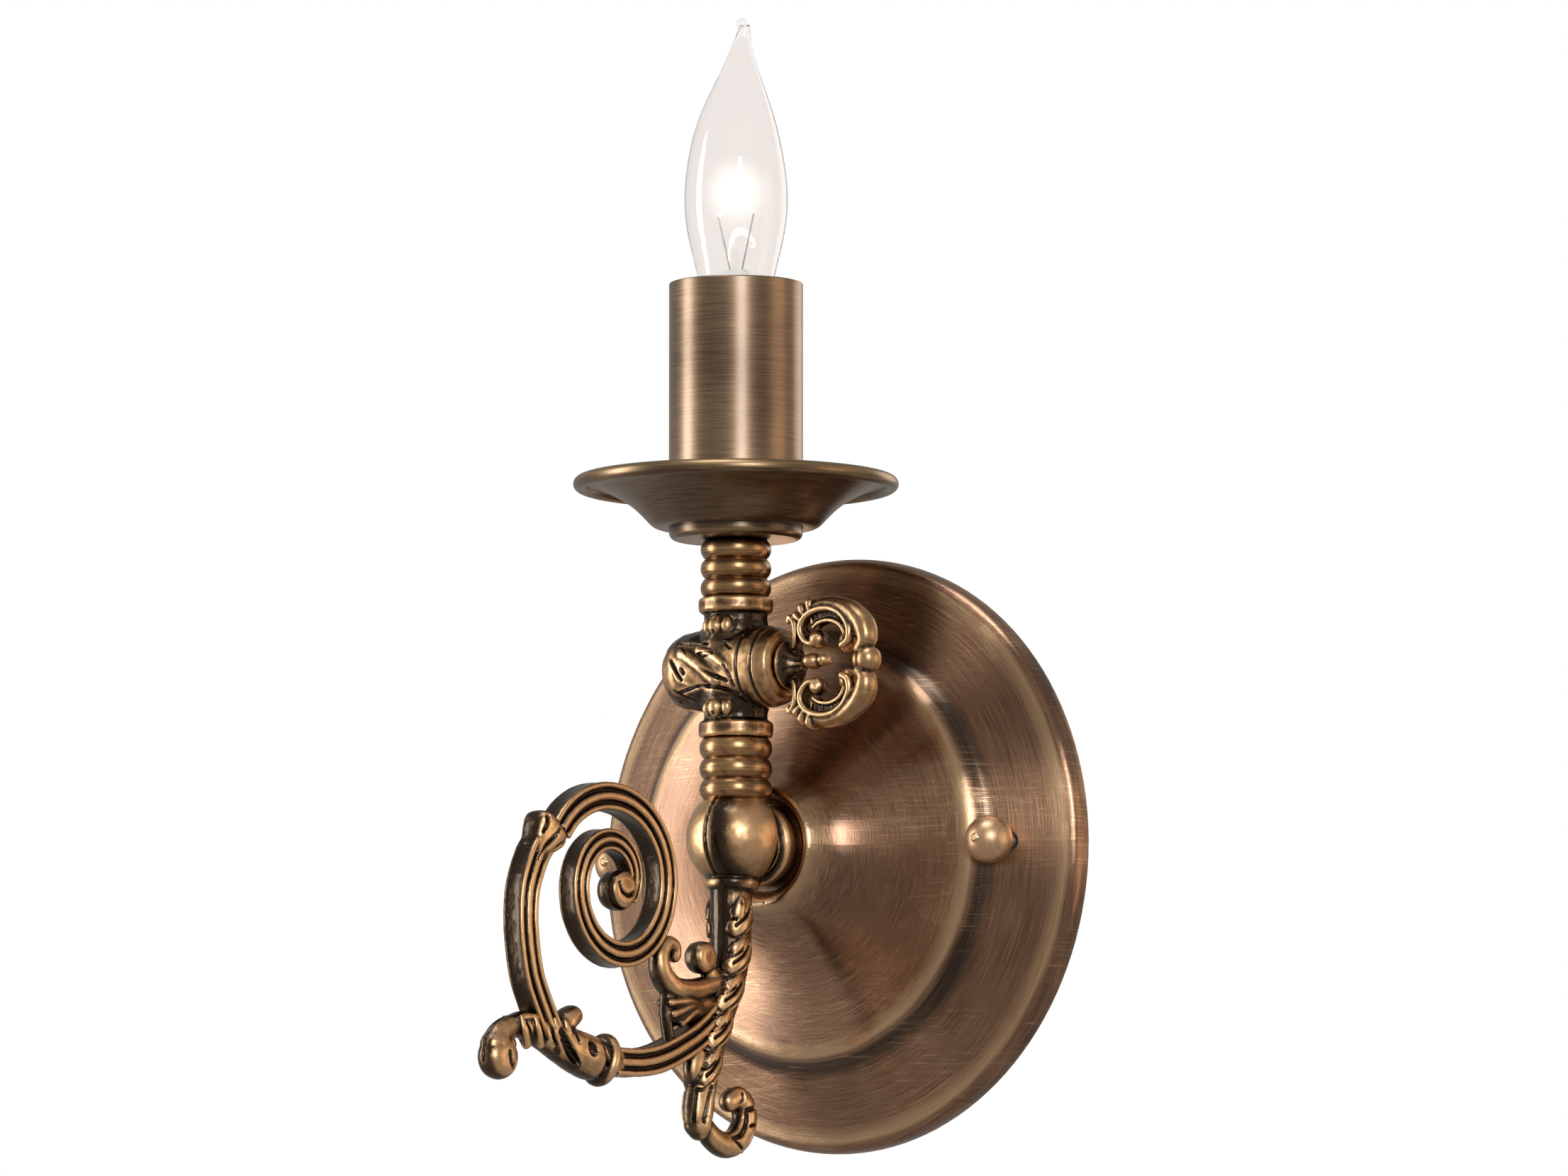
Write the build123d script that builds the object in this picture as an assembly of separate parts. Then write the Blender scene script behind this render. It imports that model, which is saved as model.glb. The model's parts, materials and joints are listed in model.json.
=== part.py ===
"""Wall sconce with one electric candle, in the style of a gas bracket. Millimetres.

Frame: the origin is the centre of the wall plate on the wall plane, +Z is up, the wall plane
is y = 0 and the fixture stands out towards -Y. The column is vertical, at y = -REACH.
"""

import math
import os

from build123d import *

# ---------------------------------------------------------------- driving dimensions
REACH = 44.5                # column axis in front of the wall
BALL_Z = 1.5                # centre of the ball body
BALL_R = 12.0

CANOPY_R = 72.3
CANOPY_SKIN = 0.9
HUB_FACE = 32.4             # recessed hub face, in front of the wall
KNOB_X = 56.7               # knobs and studs, each side of the centre
KNOB_R = 5.7
KNOB_CENTRE = 19.0          # in front of the wall
KNOB_BASE = 13.7
STUD_R = 2.1
STUD_FIT = 0.06             # running clearance of the knobs on their studs

STRAP_LENGTH = 125.0
STRAP_HEIGHT = 20.0
STRAP_THICK = 2.0
SLOT_CENTRE = 39.7          # box-screw slots, each side of the centre
SLOT_LENGTH = 14.6
SLOT_WIDTH = 5.0
STRAP_HOLE_R = 8.0
GROUND_SCREW_AT = (20, 0, -6)
GROUND_SCREW_R = 1.75

PIPE_R = 5.1                # hollow threaded tubes
PIPE_BORE = 3.4

LOWER_BEADS = (10.6, 25.6)  # bottom and top of each stack of three beads
LOWER_BEAD_R = 8.75
UPPER_BEADS = (59.4, 73.45)
UPPER_BEAD_R = 8.5
BEADS = 3
BEAD_CREASE = 1.15          # how much smaller a bead is at its edges

COLLAR_R = 8.95
LOWER_COLLAR = (25.6, 29.7)
UPPER_COLLAR = (55.5, 59.4)
COCK_NECK_R = 8.0
BARREL_Z = 42.2             # axis of the cock's barrel and of the key
BARREL_R = 9.9
BARREL_LEFT = -20.9
BARREL_RIGHT = 15.8
SHANK_R = 3.0
SHANK_FIT = 0.05
SHANK_END = 7.2
RETAINER_X = 11.0           # screw whose tip runs in the shank's groove
RETAINER_R = 1.25
RETAINER_HEAD = (8.2, 9.8)  # from the barrel's axis, towards the wall
RETAINER_TIP = 2.6

KEY_THICK = 5.0
KEY_CENTRE_X = 29.3
KEY_HALF = (14.2, 15.8)     # half length and half height of the wing
KEY_GAP = 0.35              # between the key's shoulder and the barrel

SEAT_R = 16.1
SEAT_Z = (73.45, 76.35)
PAN_SKIN = 0.8
PAN_FLOOR_R = 18.6
PAN_LIP_R = 37.5            # centre circle of the rolled lip
PAN_LIP_Z = 87.0
PAN_LIP_SECTION = 1.7

COVER_R = 16.15
COVER_SKIN = 0.8
COVER_Z = (77.45, 135.7)

SOCKET_R = 10.8
SOCKET_Z = (90.0, 112.0)
SHELL_BORE = 5.95           # candelabra screw shell
SLEEVE_BORE = 12.2
BASE_R = 5.85               # candelabra bulb base
BASE_Z = (94.5, 111.0)
GLASS_SKIN = 0.7

STRIP = 6.8                 # in-plane width of the scroll's strip
STRIP_THICK = 5.9
SPIRAL_CENTRE = (-92.5, -12.8)
SPIRAL_START = math.radians(124.6)
SPIRAL_R0 = 23.4
SPIRAL_PITCH = 1.89         # radius lost per radian
SPIRAL_TURN = (-0.45, 8.9)  # radians, from the stalk to the eye
SPIRAL_FLAT = 1.6           # how far the top of the first turn is pressed in

LEAD_R = 0.9
LEAD_X = 1.5


# ---------------------------------------------------------------- shared shapes
def on_column(shape):
    """Moves a shape made about the Z axis to the column's axis."""
    return Pos(0, -REACH, 0) * shape


def facing_out(shape):
    """Turns a shape made about Z so that its +Z points away from the wall."""
    return Rot(90, 0, 0) * shape


def along_x(shape):
    """Turns a shape made about Z so that its +Z points to +X."""
    return Rot(0, 90, 0) * shape


def turned(*edges):
    """Solid of revolution about Z of a closed outline given as (radius, height)."""
    return revolve(Plane.XZ * make_face(edges), Axis.Z)


def turned_points(*points):
    return turned(Polyline(*points, points[0]))


def tube(outer, inner, low, high):
    return turned_points((inner, low), (outer, low), (outer, high), (inner, high))


def offset_points(points, distance):
    """Points moved sideways from a curve, to its left, by one distance or one for each."""
    moved = []
    last = len(points) - 1
    for index, (a, b) in enumerate(points):
        before = points[max(index - 1, 0)]
        after = points[min(index + 1, last)]
        run = (after[0] - before[0], after[1] - before[1])
        length = math.hypot(*run)
        step = distance[index] if isinstance(distance, list) else distance
        moved.append((a - run[1] / length * step, b + run[0] / length * step))
    return moved


def skin_outline(points, thickness):
    """Closed outline of a sheet whose outer face follows the points; the metal is to its left."""
    inner = offset_points(points, thickness)
    return [
        Spline(*points),
        Line(points[-1], inner[-1]),
        Spline(*reversed(inner)),
        Line(inner[0], points[0]),
    ]


def ribbon(centre, widths, thickness):
    """Flat strip in the YZ plane along a centreline of (y, z), with a width at each point."""
    halves = [width / 2 for width in widths]
    left = offset_points(centre, halves)
    right = offset_points(centre, [-half for half in halves])
    outline = [
        Spline(*left),
        Line(left[-1], right[-1]),
        Spline(*reversed(right)),
        Line(right[0], left[0]),
    ]
    return extrude(Plane.YZ * make_face(outline), thickness / 2, both=True)


def disc_in_plane(centre, radius, thickness):
    """Short cylinder along X, centred on the YZ plane."""
    return Pos(0, *centre) * along_x(Cylinder(radius, thickness))


def hex_nut(across_flats, bore, low, high):
    blank = extrude(RegularPolygon(across_flats / math.sqrt(3), 6), high - low)
    return Pos(0, 0, low) * blank - tube(bore, 0, low - 1, high + 1)


# ---------------------------------------------------------------- wall side
def wall_crossbar():
    bar = Pos(0, -STRAP_THICK / 2, 0) * Box(STRAP_LENGTH, STRAP_THICK, STRAP_HEIGHT)
    bar = fillet(bar.edges().filter_by(Axis.Y), 4)
    hole = facing_out(Cylinder(STRAP_HOLE_R, 3 * STRAP_THICK))
    slot = facing_out(extrude(SlotOverall(SLOT_LENGTH, SLOT_WIDTH), 2 * STRAP_THICK, both=True))
    stud_hole = facing_out(Cylinder(STUD_R, 3 * STRAP_THICK))
    screw_hole = facing_out(Cylinder(GROUND_SCREW_R, 3 * STRAP_THICK))
    bar -= hole + Pos(*GROUND_SCREW_AT) * screw_hole
    for side in (-1, 1):
        bar -= Pos(side * SLOT_CENTRE, 0, 0) * slot
        bar -= Pos(side * KNOB_X, 0, 0) * stud_hole
    return bar


def ground_screw():
    shank = Pos(0, 0, 1.0) * Cylinder(GROUND_SCREW_R, STRAP_THICK)
    head = Pos(0, 0, STRAP_THICK) * extrude(RegularPolygon(3.2, 6), 2.5)
    return Pos(*GROUND_SCREW_AT) * facing_out(shank + head)


def canopy_stud(side):
    return Pos(side * KNOB_X, 0, 0) * facing_out(tube(STUD_R, 0, 0, 19.7))


def stud_nut(side):
    return Pos(side * KNOB_X, 0, 0) * facing_out(hex_nut(8.7, STUD_R, STRAP_THICK, STRAP_THICK + 3))


def canopy():
    """Spun plate: upright rim, sloped band, step groove, dished face and a hub with a recess."""
    outer = [
        (CANOPY_R, 0.0), (CANOPY_R, 2.8), (CANOPY_R - 0.7, 4.6), (CANOPY_R - 2.6, 5.7),
        (62.5, 9.0), (55.2, 12.3), (52.6, 13.8), (50.9, 16.0), (49.4, 17.3),
        (46.0, 18.4), (38.0, 20.0), (30.0, 22.2), (23.0, 25.2), (18.0, 29.2),
        (15.4, 33.4), (13.9, 35.0), (12.4, 34.2), (11.5, 33.0), (10.6, HUB_FACE),
    ]
    skin = turned(*skin_outline(outer, CANOPY_SKIN))
    web = tube(11.2, PIPE_R, HUB_FACE - CANOPY_SKIN, HUB_FACE)
    plate = facing_out(skin + web)
    for side in (-1, 1):
        plate -= Pos(side * KNOB_X, 0, 0) * facing_out(Cylinder(STUD_R + 0.5, 60))
    return plate


def knob(side):
    ball = Pos(0, 0, KNOB_CENTRE) * Sphere(KNOB_R)
    tip = Pos(0, 0, KNOB_CENTRE + KNOB_R) * Cone(1.5, 0.6, 0.9)
    base = tube(2.6, 0, KNOB_BASE, KNOB_BASE + 1.5)
    below = Pos(0, 0, KNOB_BASE - 5) * Box(20, 20, 10)
    bore = tube(STUD_R + STUD_FIT, 0, 0, 20.3)
    return Pos(side * KNOB_X, 0, 0) * facing_out(ball + tip + base - below - bore)


def hub_nipple():
    return facing_out(tube(PIPE_R, PIPE_BORE, 20, 40))


def hub_washer():
    return facing_out(tube(9.2, PIPE_R, HUB_FACE - CANOPY_SKIN - 1.2, HUB_FACE - CANOPY_SKIN))


def hub_nut():
    top = HUB_FACE - CANOPY_SKIN - 1.2
    return facing_out(hex_nut(15, PIPE_R, top - 3.8, top))


# ---------------------------------------------------------------- arm casting and scroll
def tail_bar():
    """Round tapering bar that hangs from the neck ring and sweeps forward: (y, z, radius)."""
    stations = [
        (-46.4, -10.5, 5.4), (-46.2, -21.0, 5.7), (-46.9, -28.5, 5.8), (-49.3, -35.7, 5.6),
        (-52.4, -43.0, 5.2), (-55.3, -50.3, 4.9), (-57.5, -57.5, 4.5), (-58.9, -64.6, 3.9),
        (-59.4, -70.5, 2.4),
    ]
    return loft([Pos(0, y, z) * Circle(radius) for y, z, radius in stations])


def tail_curl():
    centre = [(-57.5, -70.2), (-53.5, -72.2), (-48.5, -72.9), (-43.0, -71.2), (-39.3, -66.2),
              (-40.4, -61.6), (-45.0, -60.2)]
    hook = ribbon(centre, [4.5, 4.8, 5.0, 5.2, 5.2, 4.8, 4.2], 7)
    return hook + disc_in_plane((-46.5, -61.3), 3.0, 7)


def bud():
    neck = ribbon([(-50.0, -31.5), (-54.0, -31.0), (-58.0, -29.8)], [5.0, 5.2, 6.0], 7)
    return neck + Pos(0, -58.8, -29.0) * Sphere(4.3)


def arm_casting():
    ball = Pos(0, -REACH, BALL_Z) * Sphere(BALL_R)
    foot = facing_out(tube(9.0, 0, HUB_FACE, 38))
    neck = on_column(Pos(0, -1.2, -9.4) * Cylinder(6.7, 3.4))
    neck = fillet(neck.edges(), 1.5)
    casting = ball + foot + neck + tail_bar() + tail_curl() + bud()
    casting -= Pos(0, -REACH, LOWER_BEADS[0] + 10) * Box(40, 40, 20)
    casting -= facing_out(tube(PIPE_R, 0, 0, 40))
    casting -= facing_out(tube(PIPE_BORE, 0, 0, REACH))
    casting -= on_column(tube(PIPE_R, 0, 5.6, 30))
    casting -= on_column(tube(PIPE_BORE, 0, 0, 30))
    return casting


def scroll_arm(tail):
    centre = [(-52.0, -40.5), (-57.5, -44.8), (-63.8, -48.4), (-74.1, -52.6), (-83.1, -54.4),
              (-92.5, -54.6)]
    return ribbon(centre, [6.0, 6.2, 6.4, 6.6, 6.6, 6.6], STRIP_THICK) - tail


def leaf_foot(arm):
    """Leaf that wraps the arm's end, with a flange at one end and the curled foot at the other."""
    centre = [(-93.5, -54.2), (-101.0, -53.4), (-109.0, -52.5), (-118.0, -49.8), (-125.5, -48.6),
              (-132.0, -49.9), (-136.3, -53.2), (-137.0, -57.0)]
    leaf = ribbon(centre, [9.5, 11.8, 11.8, 10.2, 7.2, 5.6, 5.2, 4.6], 8.4)
    flange = ribbon([(-90.8, -54.4), (-93.6, -54.2)], [12.0, 12.4], 9.6)
    foot = disc_in_plane((-132.6, -57.3), 3.4, 8.4)
    pad = disc_in_plane((-106.8, -45.6), 3.2, 6)
    return leaf + flange + foot + pad - arm


def scroll_stalk(leaf):
    centre = [(-116.0, -49.0), (-120.3, -42.2), (-123.3, -36.4), (-125.0, -29.5), (-125.7, -22.6),
              (-125.0, -15.5), (-122.1, -8.6), (-118.6, -4.2)]
    stalk = ribbon(centre, [STRIP] * len(centre), STRIP_THICK)
    calyx = ribbon([(-120.4, -6.2), (-118.2, -3.7), (-116.0, -1.4), (-114.6, 0.2)],
                   [7.6, 9.6, 13.2, 14.6], 9)
    return stalk + calyx - leaf


def scroll_spiral(stalk):
    """Strip on a spiral that loses radius evenly as it turns clockwise, with a round eye."""
    steps = 27
    first, last = SPIRAL_TURN
    centre = []
    widths = []
    for index in range(steps + 1):
        part = index / steps
        turn = first + (last - first) * part
        pressed = SPIRAL_FLAT * math.exp(-((turn - 0.55) / 0.9) ** 2)
        radius = SPIRAL_R0 - SPIRAL_PITCH * turn - pressed
        angle = SPIRAL_START - turn
        centre.append((SPIRAL_CENTRE[0] + radius * math.cos(angle),
                       SPIRAL_CENTRE[1] + radius * math.sin(angle)))
        widths.append(STRIP - 2.6 * part ** 2)
    eye = disc_in_plane((-90.0, -15.0), 3.4, STRIP_THICK)
    return ribbon(centre, widths, STRIP_THICK) + eye - stalk


def scroll_branch(*neighbours):
    """Small branch from the tail to the spiral, with a curled bud and a shell web under it."""
    centre = [(-51.5, -34.6), (-57.5, -35.8), (-64.5, -36.3), (-71.5, -35.7), (-76.4, -32.6),
              (-75.6, -29.0), (-72.0, -27.2)]
    branch = ribbon(centre, [4.6, 4.8, 5.0, 5.4, 5.6, 5.0, 4.4], 6.4)
    curl = disc_in_plane((-69.6, -27.2), 3.2, 6.4)
    corners = [(-54.0, -38.0), (-58.0, -35.0), (-72.0, -37.0), (-74.8, -41.0), (-73.6, -44.4),
               (-74.4, -46.6), (-71.5, -50.5), (-60.0, -45.0)]
    web = extrude(Plane.YZ * make_face(Polyline(*corners, corners[0])), 2.4, both=True)
    whole = branch + curl + web
    for neighbour in neighbours:
        whole -= neighbour
    return whole


# ---------------------------------------------------------------- column
def pipe(low, high):
    return on_column(tube(PIPE_R, PIPE_BORE, low, high))


def bead(radius, low, high):
    """Ring with a half-round rim."""
    middle = (low + high) / 2
    crease = radius - BEAD_CREASE
    return on_column(turned(
        Line((PIPE_R, high), (PIPE_R, low)),
        Line((PIPE_R, low), (crease, low)),
        ThreePointArc((crease, low), (radius, middle), (crease, high)),
        Line((crease, high), (PIPE_R, high)),
    ))


def cock_body():
    """Gas-cock casting: two collars, a waisted neck and the barrel that holds the key."""
    upright = turned_points(
        (0, LOWER_COLLAR[0]), (COLLAR_R, LOWER_COLLAR[0]), (COLLAR_R, LOWER_COLLAR[1]),
        (COCK_NECK_R, LOWER_COLLAR[1]), (COCK_NECK_R, UPPER_COLLAR[0]),
        (COLLAR_R, UPPER_COLLAR[0]), (COLLAR_R, UPPER_COLLAR[1]), (0, UPPER_COLLAR[1]),
    )
    dome = Spline((0, BARREL_LEFT), (3.6, BARREL_LEFT + 0.7), (7.0, BARREL_LEFT + 2.8),
                  (9.3, BARREL_LEFT + 6.2), (BARREL_R, -9.0), tangents=((1, 0), (0, 1)))
    shoulder = ThreePointArc((BARREL_R, 10.5), (9.3, 13.8), (7.4, BARREL_RIGHT))
    barrel = turned(
        dome,
        Line((BARREL_R, -9.0), (BARREL_R, 10.5)),
        shoulder,
        Line((7.4, BARREL_RIGHT), (0, BARREL_RIGHT)),
        Line((0, BARREL_RIGHT), (0, BARREL_LEFT)),
    )
    body = upright + Pos(0, 0, BARREL_Z) * along_x(barrel)
    body -= tube(PIPE_R, 0, 0, 33)
    body -= tube(PIPE_R, 0, 52, 90)
    body -= tube(PIPE_BORE, 0, 0, 90)
    body -= Pos(0, 0, BARREL_Z) * along_x(tube(SHANK_R + SHANK_FIT, 0, SHANK_END - 0.4, 30))
    body -= retaining_hole()
    return on_column(body)


def towards_wall(shape):
    """Turns a shape made about Z so that its +Z points at the wall, on the retainer's axis."""
    return Pos(RETAINER_X, 0, BARREL_Z) * Rot(-90, 0, 0) * shape


def retaining_hole():
    return towards_wall(tube(RETAINER_R, 0, 0, 12) + tube(2.4, 0, RETAINER_HEAD[0], 12))


def key_screw():
    head = tube(2.3, 0, *RETAINER_HEAD)
    shank = tube(RETAINER_R, 0, RETAINER_TIP, RETAINER_HEAD[0])
    slot = Pos(0, 0, RETAINER_HEAD[1]) * Box(6, 0.7, 1.2)
    return on_column(towards_wall(head + shank - slot))


def gas_key():
    """Ornamental wing: an oval band with two windows, inward curls, a stem and a ball finial."""
    half_length, half_height = KEY_HALF
    centre = KEY_CENTRE_X
    wing = Pos(centre, 0) * Ellipse(half_length, half_height)
    wing -= Pos(centre - 0.7, 0) * Ellipse(half_length - 5.6, half_height - 4.8)
    wing += Pos(19.5, 0) * Rectangle(9, 4.2)
    wing += Pos(24.0, 0) * Circle(2.6)
    for side in (-1, 1):
        wing += Pos(22.6, side * 6.2) * Circle(2.7)
        wing += Pos(35.4, side * 3.2) * Circle(2.5)
        wing += Pos(17.8, side * 10.4) * Circle(2.3)
    plate = extrude(Plane.XZ * wing, KEY_THICK / 2, both=True)
    finial = Pos(40.9, 0, 0) * Sphere(3.0)
    shoulder = BARREL_RIGHT + KEY_GAP
    shank = along_x(turned_points(
        (0, SHANK_END), (SHANK_R, SHANK_END), (SHANK_R, 9.4), (2.2, 9.4), (2.2, 12.6),
        (SHANK_R, 12.6), (SHANK_R, shoulder), (4.2, shoulder), (2.6, 19.5), (0, 19.5),
    ))
    trimmed = plate - Pos(shoulder - 10, 0, 0) * Box(20, 40, 40)
    return Pos(0, -REACH, BARREL_Z) * (trimmed + finial + shank)


# ---------------------------------------------------------------- drip pan and candle
def seat_ring():
    low, high = SEAT_Z
    return on_column(turned(
        Line((PIPE_R, high), (PIPE_R, low)),
        Line((PIPE_R, low), (14.4, low)),
        ThreePointArc((14.4, low), (15.6, low + 0.5), (SEAT_R, low + 1.8)),
        Line((SEAT_R, low + 1.8), (SEAT_R, high)),
        Line((SEAT_R, high), (PIPE_R, high)),
    ))


def bobeche():
    """Spun dish with a flat floor, a flaring side and a rolled lip."""
    floor = SEAT_Z[1]
    outer = [(PAN_FLOOR_R - 2, floor), (PAN_FLOOR_R, floor), (19.9, floor + 0.4), (21.2, floor + 1.5),
             (23.6, floor + 4.0), (26.8, 82.9), (30.6, 85.0), (34.0, 86.3), (36.4, PAN_LIP_Z - 0.4)]
    side = turned(*skin_outline(outer, PAN_SKIN))
    base = tube(PAN_FLOOR_R - 1.9, PIPE_R, floor, floor + PAN_SKIN)
    lip = Pos(0, 0, PAN_LIP_Z) * Torus(PAN_LIP_R, PAN_LIP_SECTION)
    return on_column(side + base + lip)


def bobeche_nut():
    return on_column(hex_nut(13, PIPE_R, SEAT_Z[1] + PAN_SKIN, 80.2))


def socket_leg():
    """Bent strip: a foot screwed to the upper tube and a leg up one side of the socket."""
    foot = Pos(2.4, 0, 81.0) * Box(18.9, 11, 1.2)
    leg = Pos(11.35, 0, 90.7) * Box(1.0, 5, 18.4)
    return on_column(foot + leg - tube(PIPE_R, 0, 70, 90))


def socket_body():
    low, high = SOCKET_Z
    return on_column(tube(SOCKET_R, 6.5, low + 1.5, high) + tube(SOCKET_R, 0, low, low + 1.5))


def socket_shell():
    return on_column(tube(6.5, SHELL_BORE, SOCKET_Z[0] + 3.2, SOCKET_Z[1] - 0.6))


def centre_contact():
    return on_column(Pos(0, 0, SOCKET_Z[0] + 1.95) * Box(9, 3.2, 0.5) - tube(0.8, 0, 80, 100))


def contact_rivet():
    return on_column(tube(0.8, 0, SOCKET_Z[0] + 1.5, SOCKET_Z[0] + 2.2))


def insulating_sleeve():
    return on_column(tube(SLEEVE_BORE + 0.6, SLEEVE_BORE, 82.0, 113.0))


def candle_cover():
    low, high = COVER_Z
    inner = COVER_R - COVER_SKIN
    shell = tube(COVER_R, inner, low, high)
    return on_column(fillet(shell.edges().sort_by(Axis.Z)[-2:], 0.3))


# ---------------------------------------------------------------- bulb
def glass_form(inset):
    """Flame shape through circles of (height, radius); the last few lean to make a bent tip."""
    sections = [
        (110.4, 5.5, 0), (115.0, 5.6, 0), (121.0, 6.3, 0), (128.0, 7.4, 0), (135.7, 8.9, 0),
        (141.7, 10.3, 0), (148.6, 11.8, 0), (155.4, 12.45, 0), (162.2, 12.1, 0), (169.0, 11.0, 0),
        (175.9, 9.2, 0.2), (182.7, 6.6, 0.7), (189.5, 3.8, 1.3), (195.5, 1.9, 2.1), (198.6, 1.15, 2.7),
    ]
    kept = [s for s in sections if s[1] - inset > 0.5]
    return loft([Pos(lean, 0, height) * Circle(radius - inset) for height, radius, lean in kept])


def bulb_glass():
    lower_end = Pos(0, 0, 109.4) * Cylinder(BASE_R - 0.35 - GLASS_SKIN, 2.2)
    return on_column(glass_form(0) - glass_form(GLASS_SKIN) - lower_end)


def bulb_base():
    low, high = BASE_Z
    return on_column(tube(BASE_R, BASE_R - 0.35, low, high))


def bulb_insulator():
    low = BASE_Z[0]
    return on_column(turned_points((0, low - 2), (2.4, low - 2), (5.5, low + 0.8), (0, low + 0.8)))


def bulb_contact():
    low = BASE_Z[0] - 2
    return on_column(turned_points((0, low - 0.3), (1.6, low - 0.3), (2.0, low), (0, low)))


def bulb_stem():
    """Flared glass tube with a flat press on top and a thin rod above it."""
    flare = turned_points((3.6, 111.5), (4.4, 111.5), (2.9, 118), (2.6, 134), (1.9, 134), (2.2, 118))
    press = Pos(0, 0, 136.5) * Box(5.6, 2.6, 5)
    rod = Pos(0, 0, 141.5) * Cylinder(0.8, 5)
    return on_column(flare + press + rod)


def bulb_wires():
    """Two lead-in wires that splay from the press to the filament's ends."""
    wires = []
    for side in (-1, 1):
        path = Line((side * 1.8, 0, 139.0), (side * 5.4, 0, 152.5))
        start = Plane(origin=path @ 0, z_dir=path % 0)
        wires.append(on_column(sweep(start * Circle(0.22), path)))
    return Compound(children=wires)


def bulb_filament():
    """Coil drawn as one thin bar between the wires' ends, bowed upward."""
    path = ThreePointArc((-5.2, 0, 152.7), (0, 0, 155.2), (5.2, 0, 152.7))
    start = Plane(origin=path @ 0, z_dir=path % 0)
    return on_column(sweep(start * Circle(0.35), path))


# ---------------------------------------------------------------- wiring inside
def supply_lead(side):
    """Insulated lead from the socket down the column, back through the hub and to its connector."""
    route = [(side * LEAD_X, -REACH, SOCKET_Z[0]), (side * LEAD_X, -REACH, 0.0),
             (side * LEAD_X, -14.0, 0.0), (side * 17.0, -9.0, 0.0)]
    path = FilletPolyline(*route, radius=(5.5, 4.5))
    start = Plane(origin=path @ 0, z_dir=path % 0)
    return sweep(start * Circle(LEAD_R), path)


def wire_connector(side):
    cap = Cone(4.2, 2.6, 13)
    return Pos(side * 23.8, -8.8, 0) * Rot(0, side * 90, 0) * cap


# ---------------------------------------------------------------- parts
def make_parts():
    parts = {
        "wall_crossbar": wall_crossbar(),
        "ground_screw": ground_screw(),
        "canopy": canopy(),
        "hub_nipple": hub_nipple(),
        "hub_washer": hub_washer(),
        "hub_nut": hub_nut(),
        "lower_nipple": pipe(5.6, 33),
        "upper_nipple": pipe(52, 82.5),
        "cock_body": cock_body(),
        "key_screw": key_screw(),
        "gas_key": gas_key(),
        "seat_ring": seat_ring(),
        "bobeche": bobeche(),
        "bobeche_nut": bobeche_nut(),
        "socket_leg": socket_leg(),
        "socket_body": socket_body(),
        "socket_shell": socket_shell(),
        "centre_contact": centre_contact(),
        "contact_rivet": contact_rivet(),
        "insulating_sleeve": insulating_sleeve(),
        "candle_cover": candle_cover(),
        "bulb_glass": bulb_glass(),
        "bulb_base": bulb_base(),
        "bulb_insulator": bulb_insulator(),
        "bulb_contact": bulb_contact(),
        "bulb_stem": bulb_stem(),
        "bulb_wires": bulb_wires(),
        "bulb_filament": bulb_filament(),
    }
    casting = arm_casting()
    arm = scroll_arm(casting)
    leaf = leaf_foot(arm)
    stalk = scroll_stalk(leaf)
    spiral = scroll_spiral(stalk)
    parts["arm_casting"] = casting
    parts["scroll_arm"] = arm
    parts["leaf_foot"] = leaf
    parts["scroll_stalk"] = stalk
    parts["scroll_spiral"] = spiral
    parts["scroll_branch"] = scroll_branch(casting, arm, spiral)
    for side, word in ((-1, "left"), (1, "right")):
        parts["canopy_stud_" + word] = canopy_stud(side)
        parts["stud_nut_" + word] = stud_nut(side)
        parts["knob_" + word] = knob(side)
        parts["lead_" + word] = supply_lead(side)
        parts["wire_connector_" + word] = wire_connector(side)
    stacks = (("lower_bead", LOWER_BEAD_R, LOWER_BEADS), ("upper_bead", UPPER_BEAD_R, UPPER_BEADS))
    for word, radius, (low, high) in stacks:
        step = (high - low) / BEADS
        for index in range(BEADS):
            base = low + index * step
            parts[f"{word}_{index + 1}"] = bead(radius, base, base + step)
    return parts


os.makedirs("parts", exist_ok=True)
for name, shape in make_parts().items():
    export_step(shape, f"parts/{name}.step")
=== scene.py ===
"""Looks of the wall sconce: cast ornament, brushed and antiqued brass, a lit clear bulb.

The ornamental castings are built in millimetres from overlapping closed shells, fused into one
skin each, engraved, and given a "relief" value per point: high on ridges, low in hollows.
The cast brass reads that value, so ridges are polished and hollows are black, as on the
real antiqued metal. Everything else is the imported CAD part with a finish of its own, but for
one bead of glass that is added at the bulb's bent tip.
"""
import json
import math

import bpy
import numpy as np
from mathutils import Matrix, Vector, noise


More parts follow.
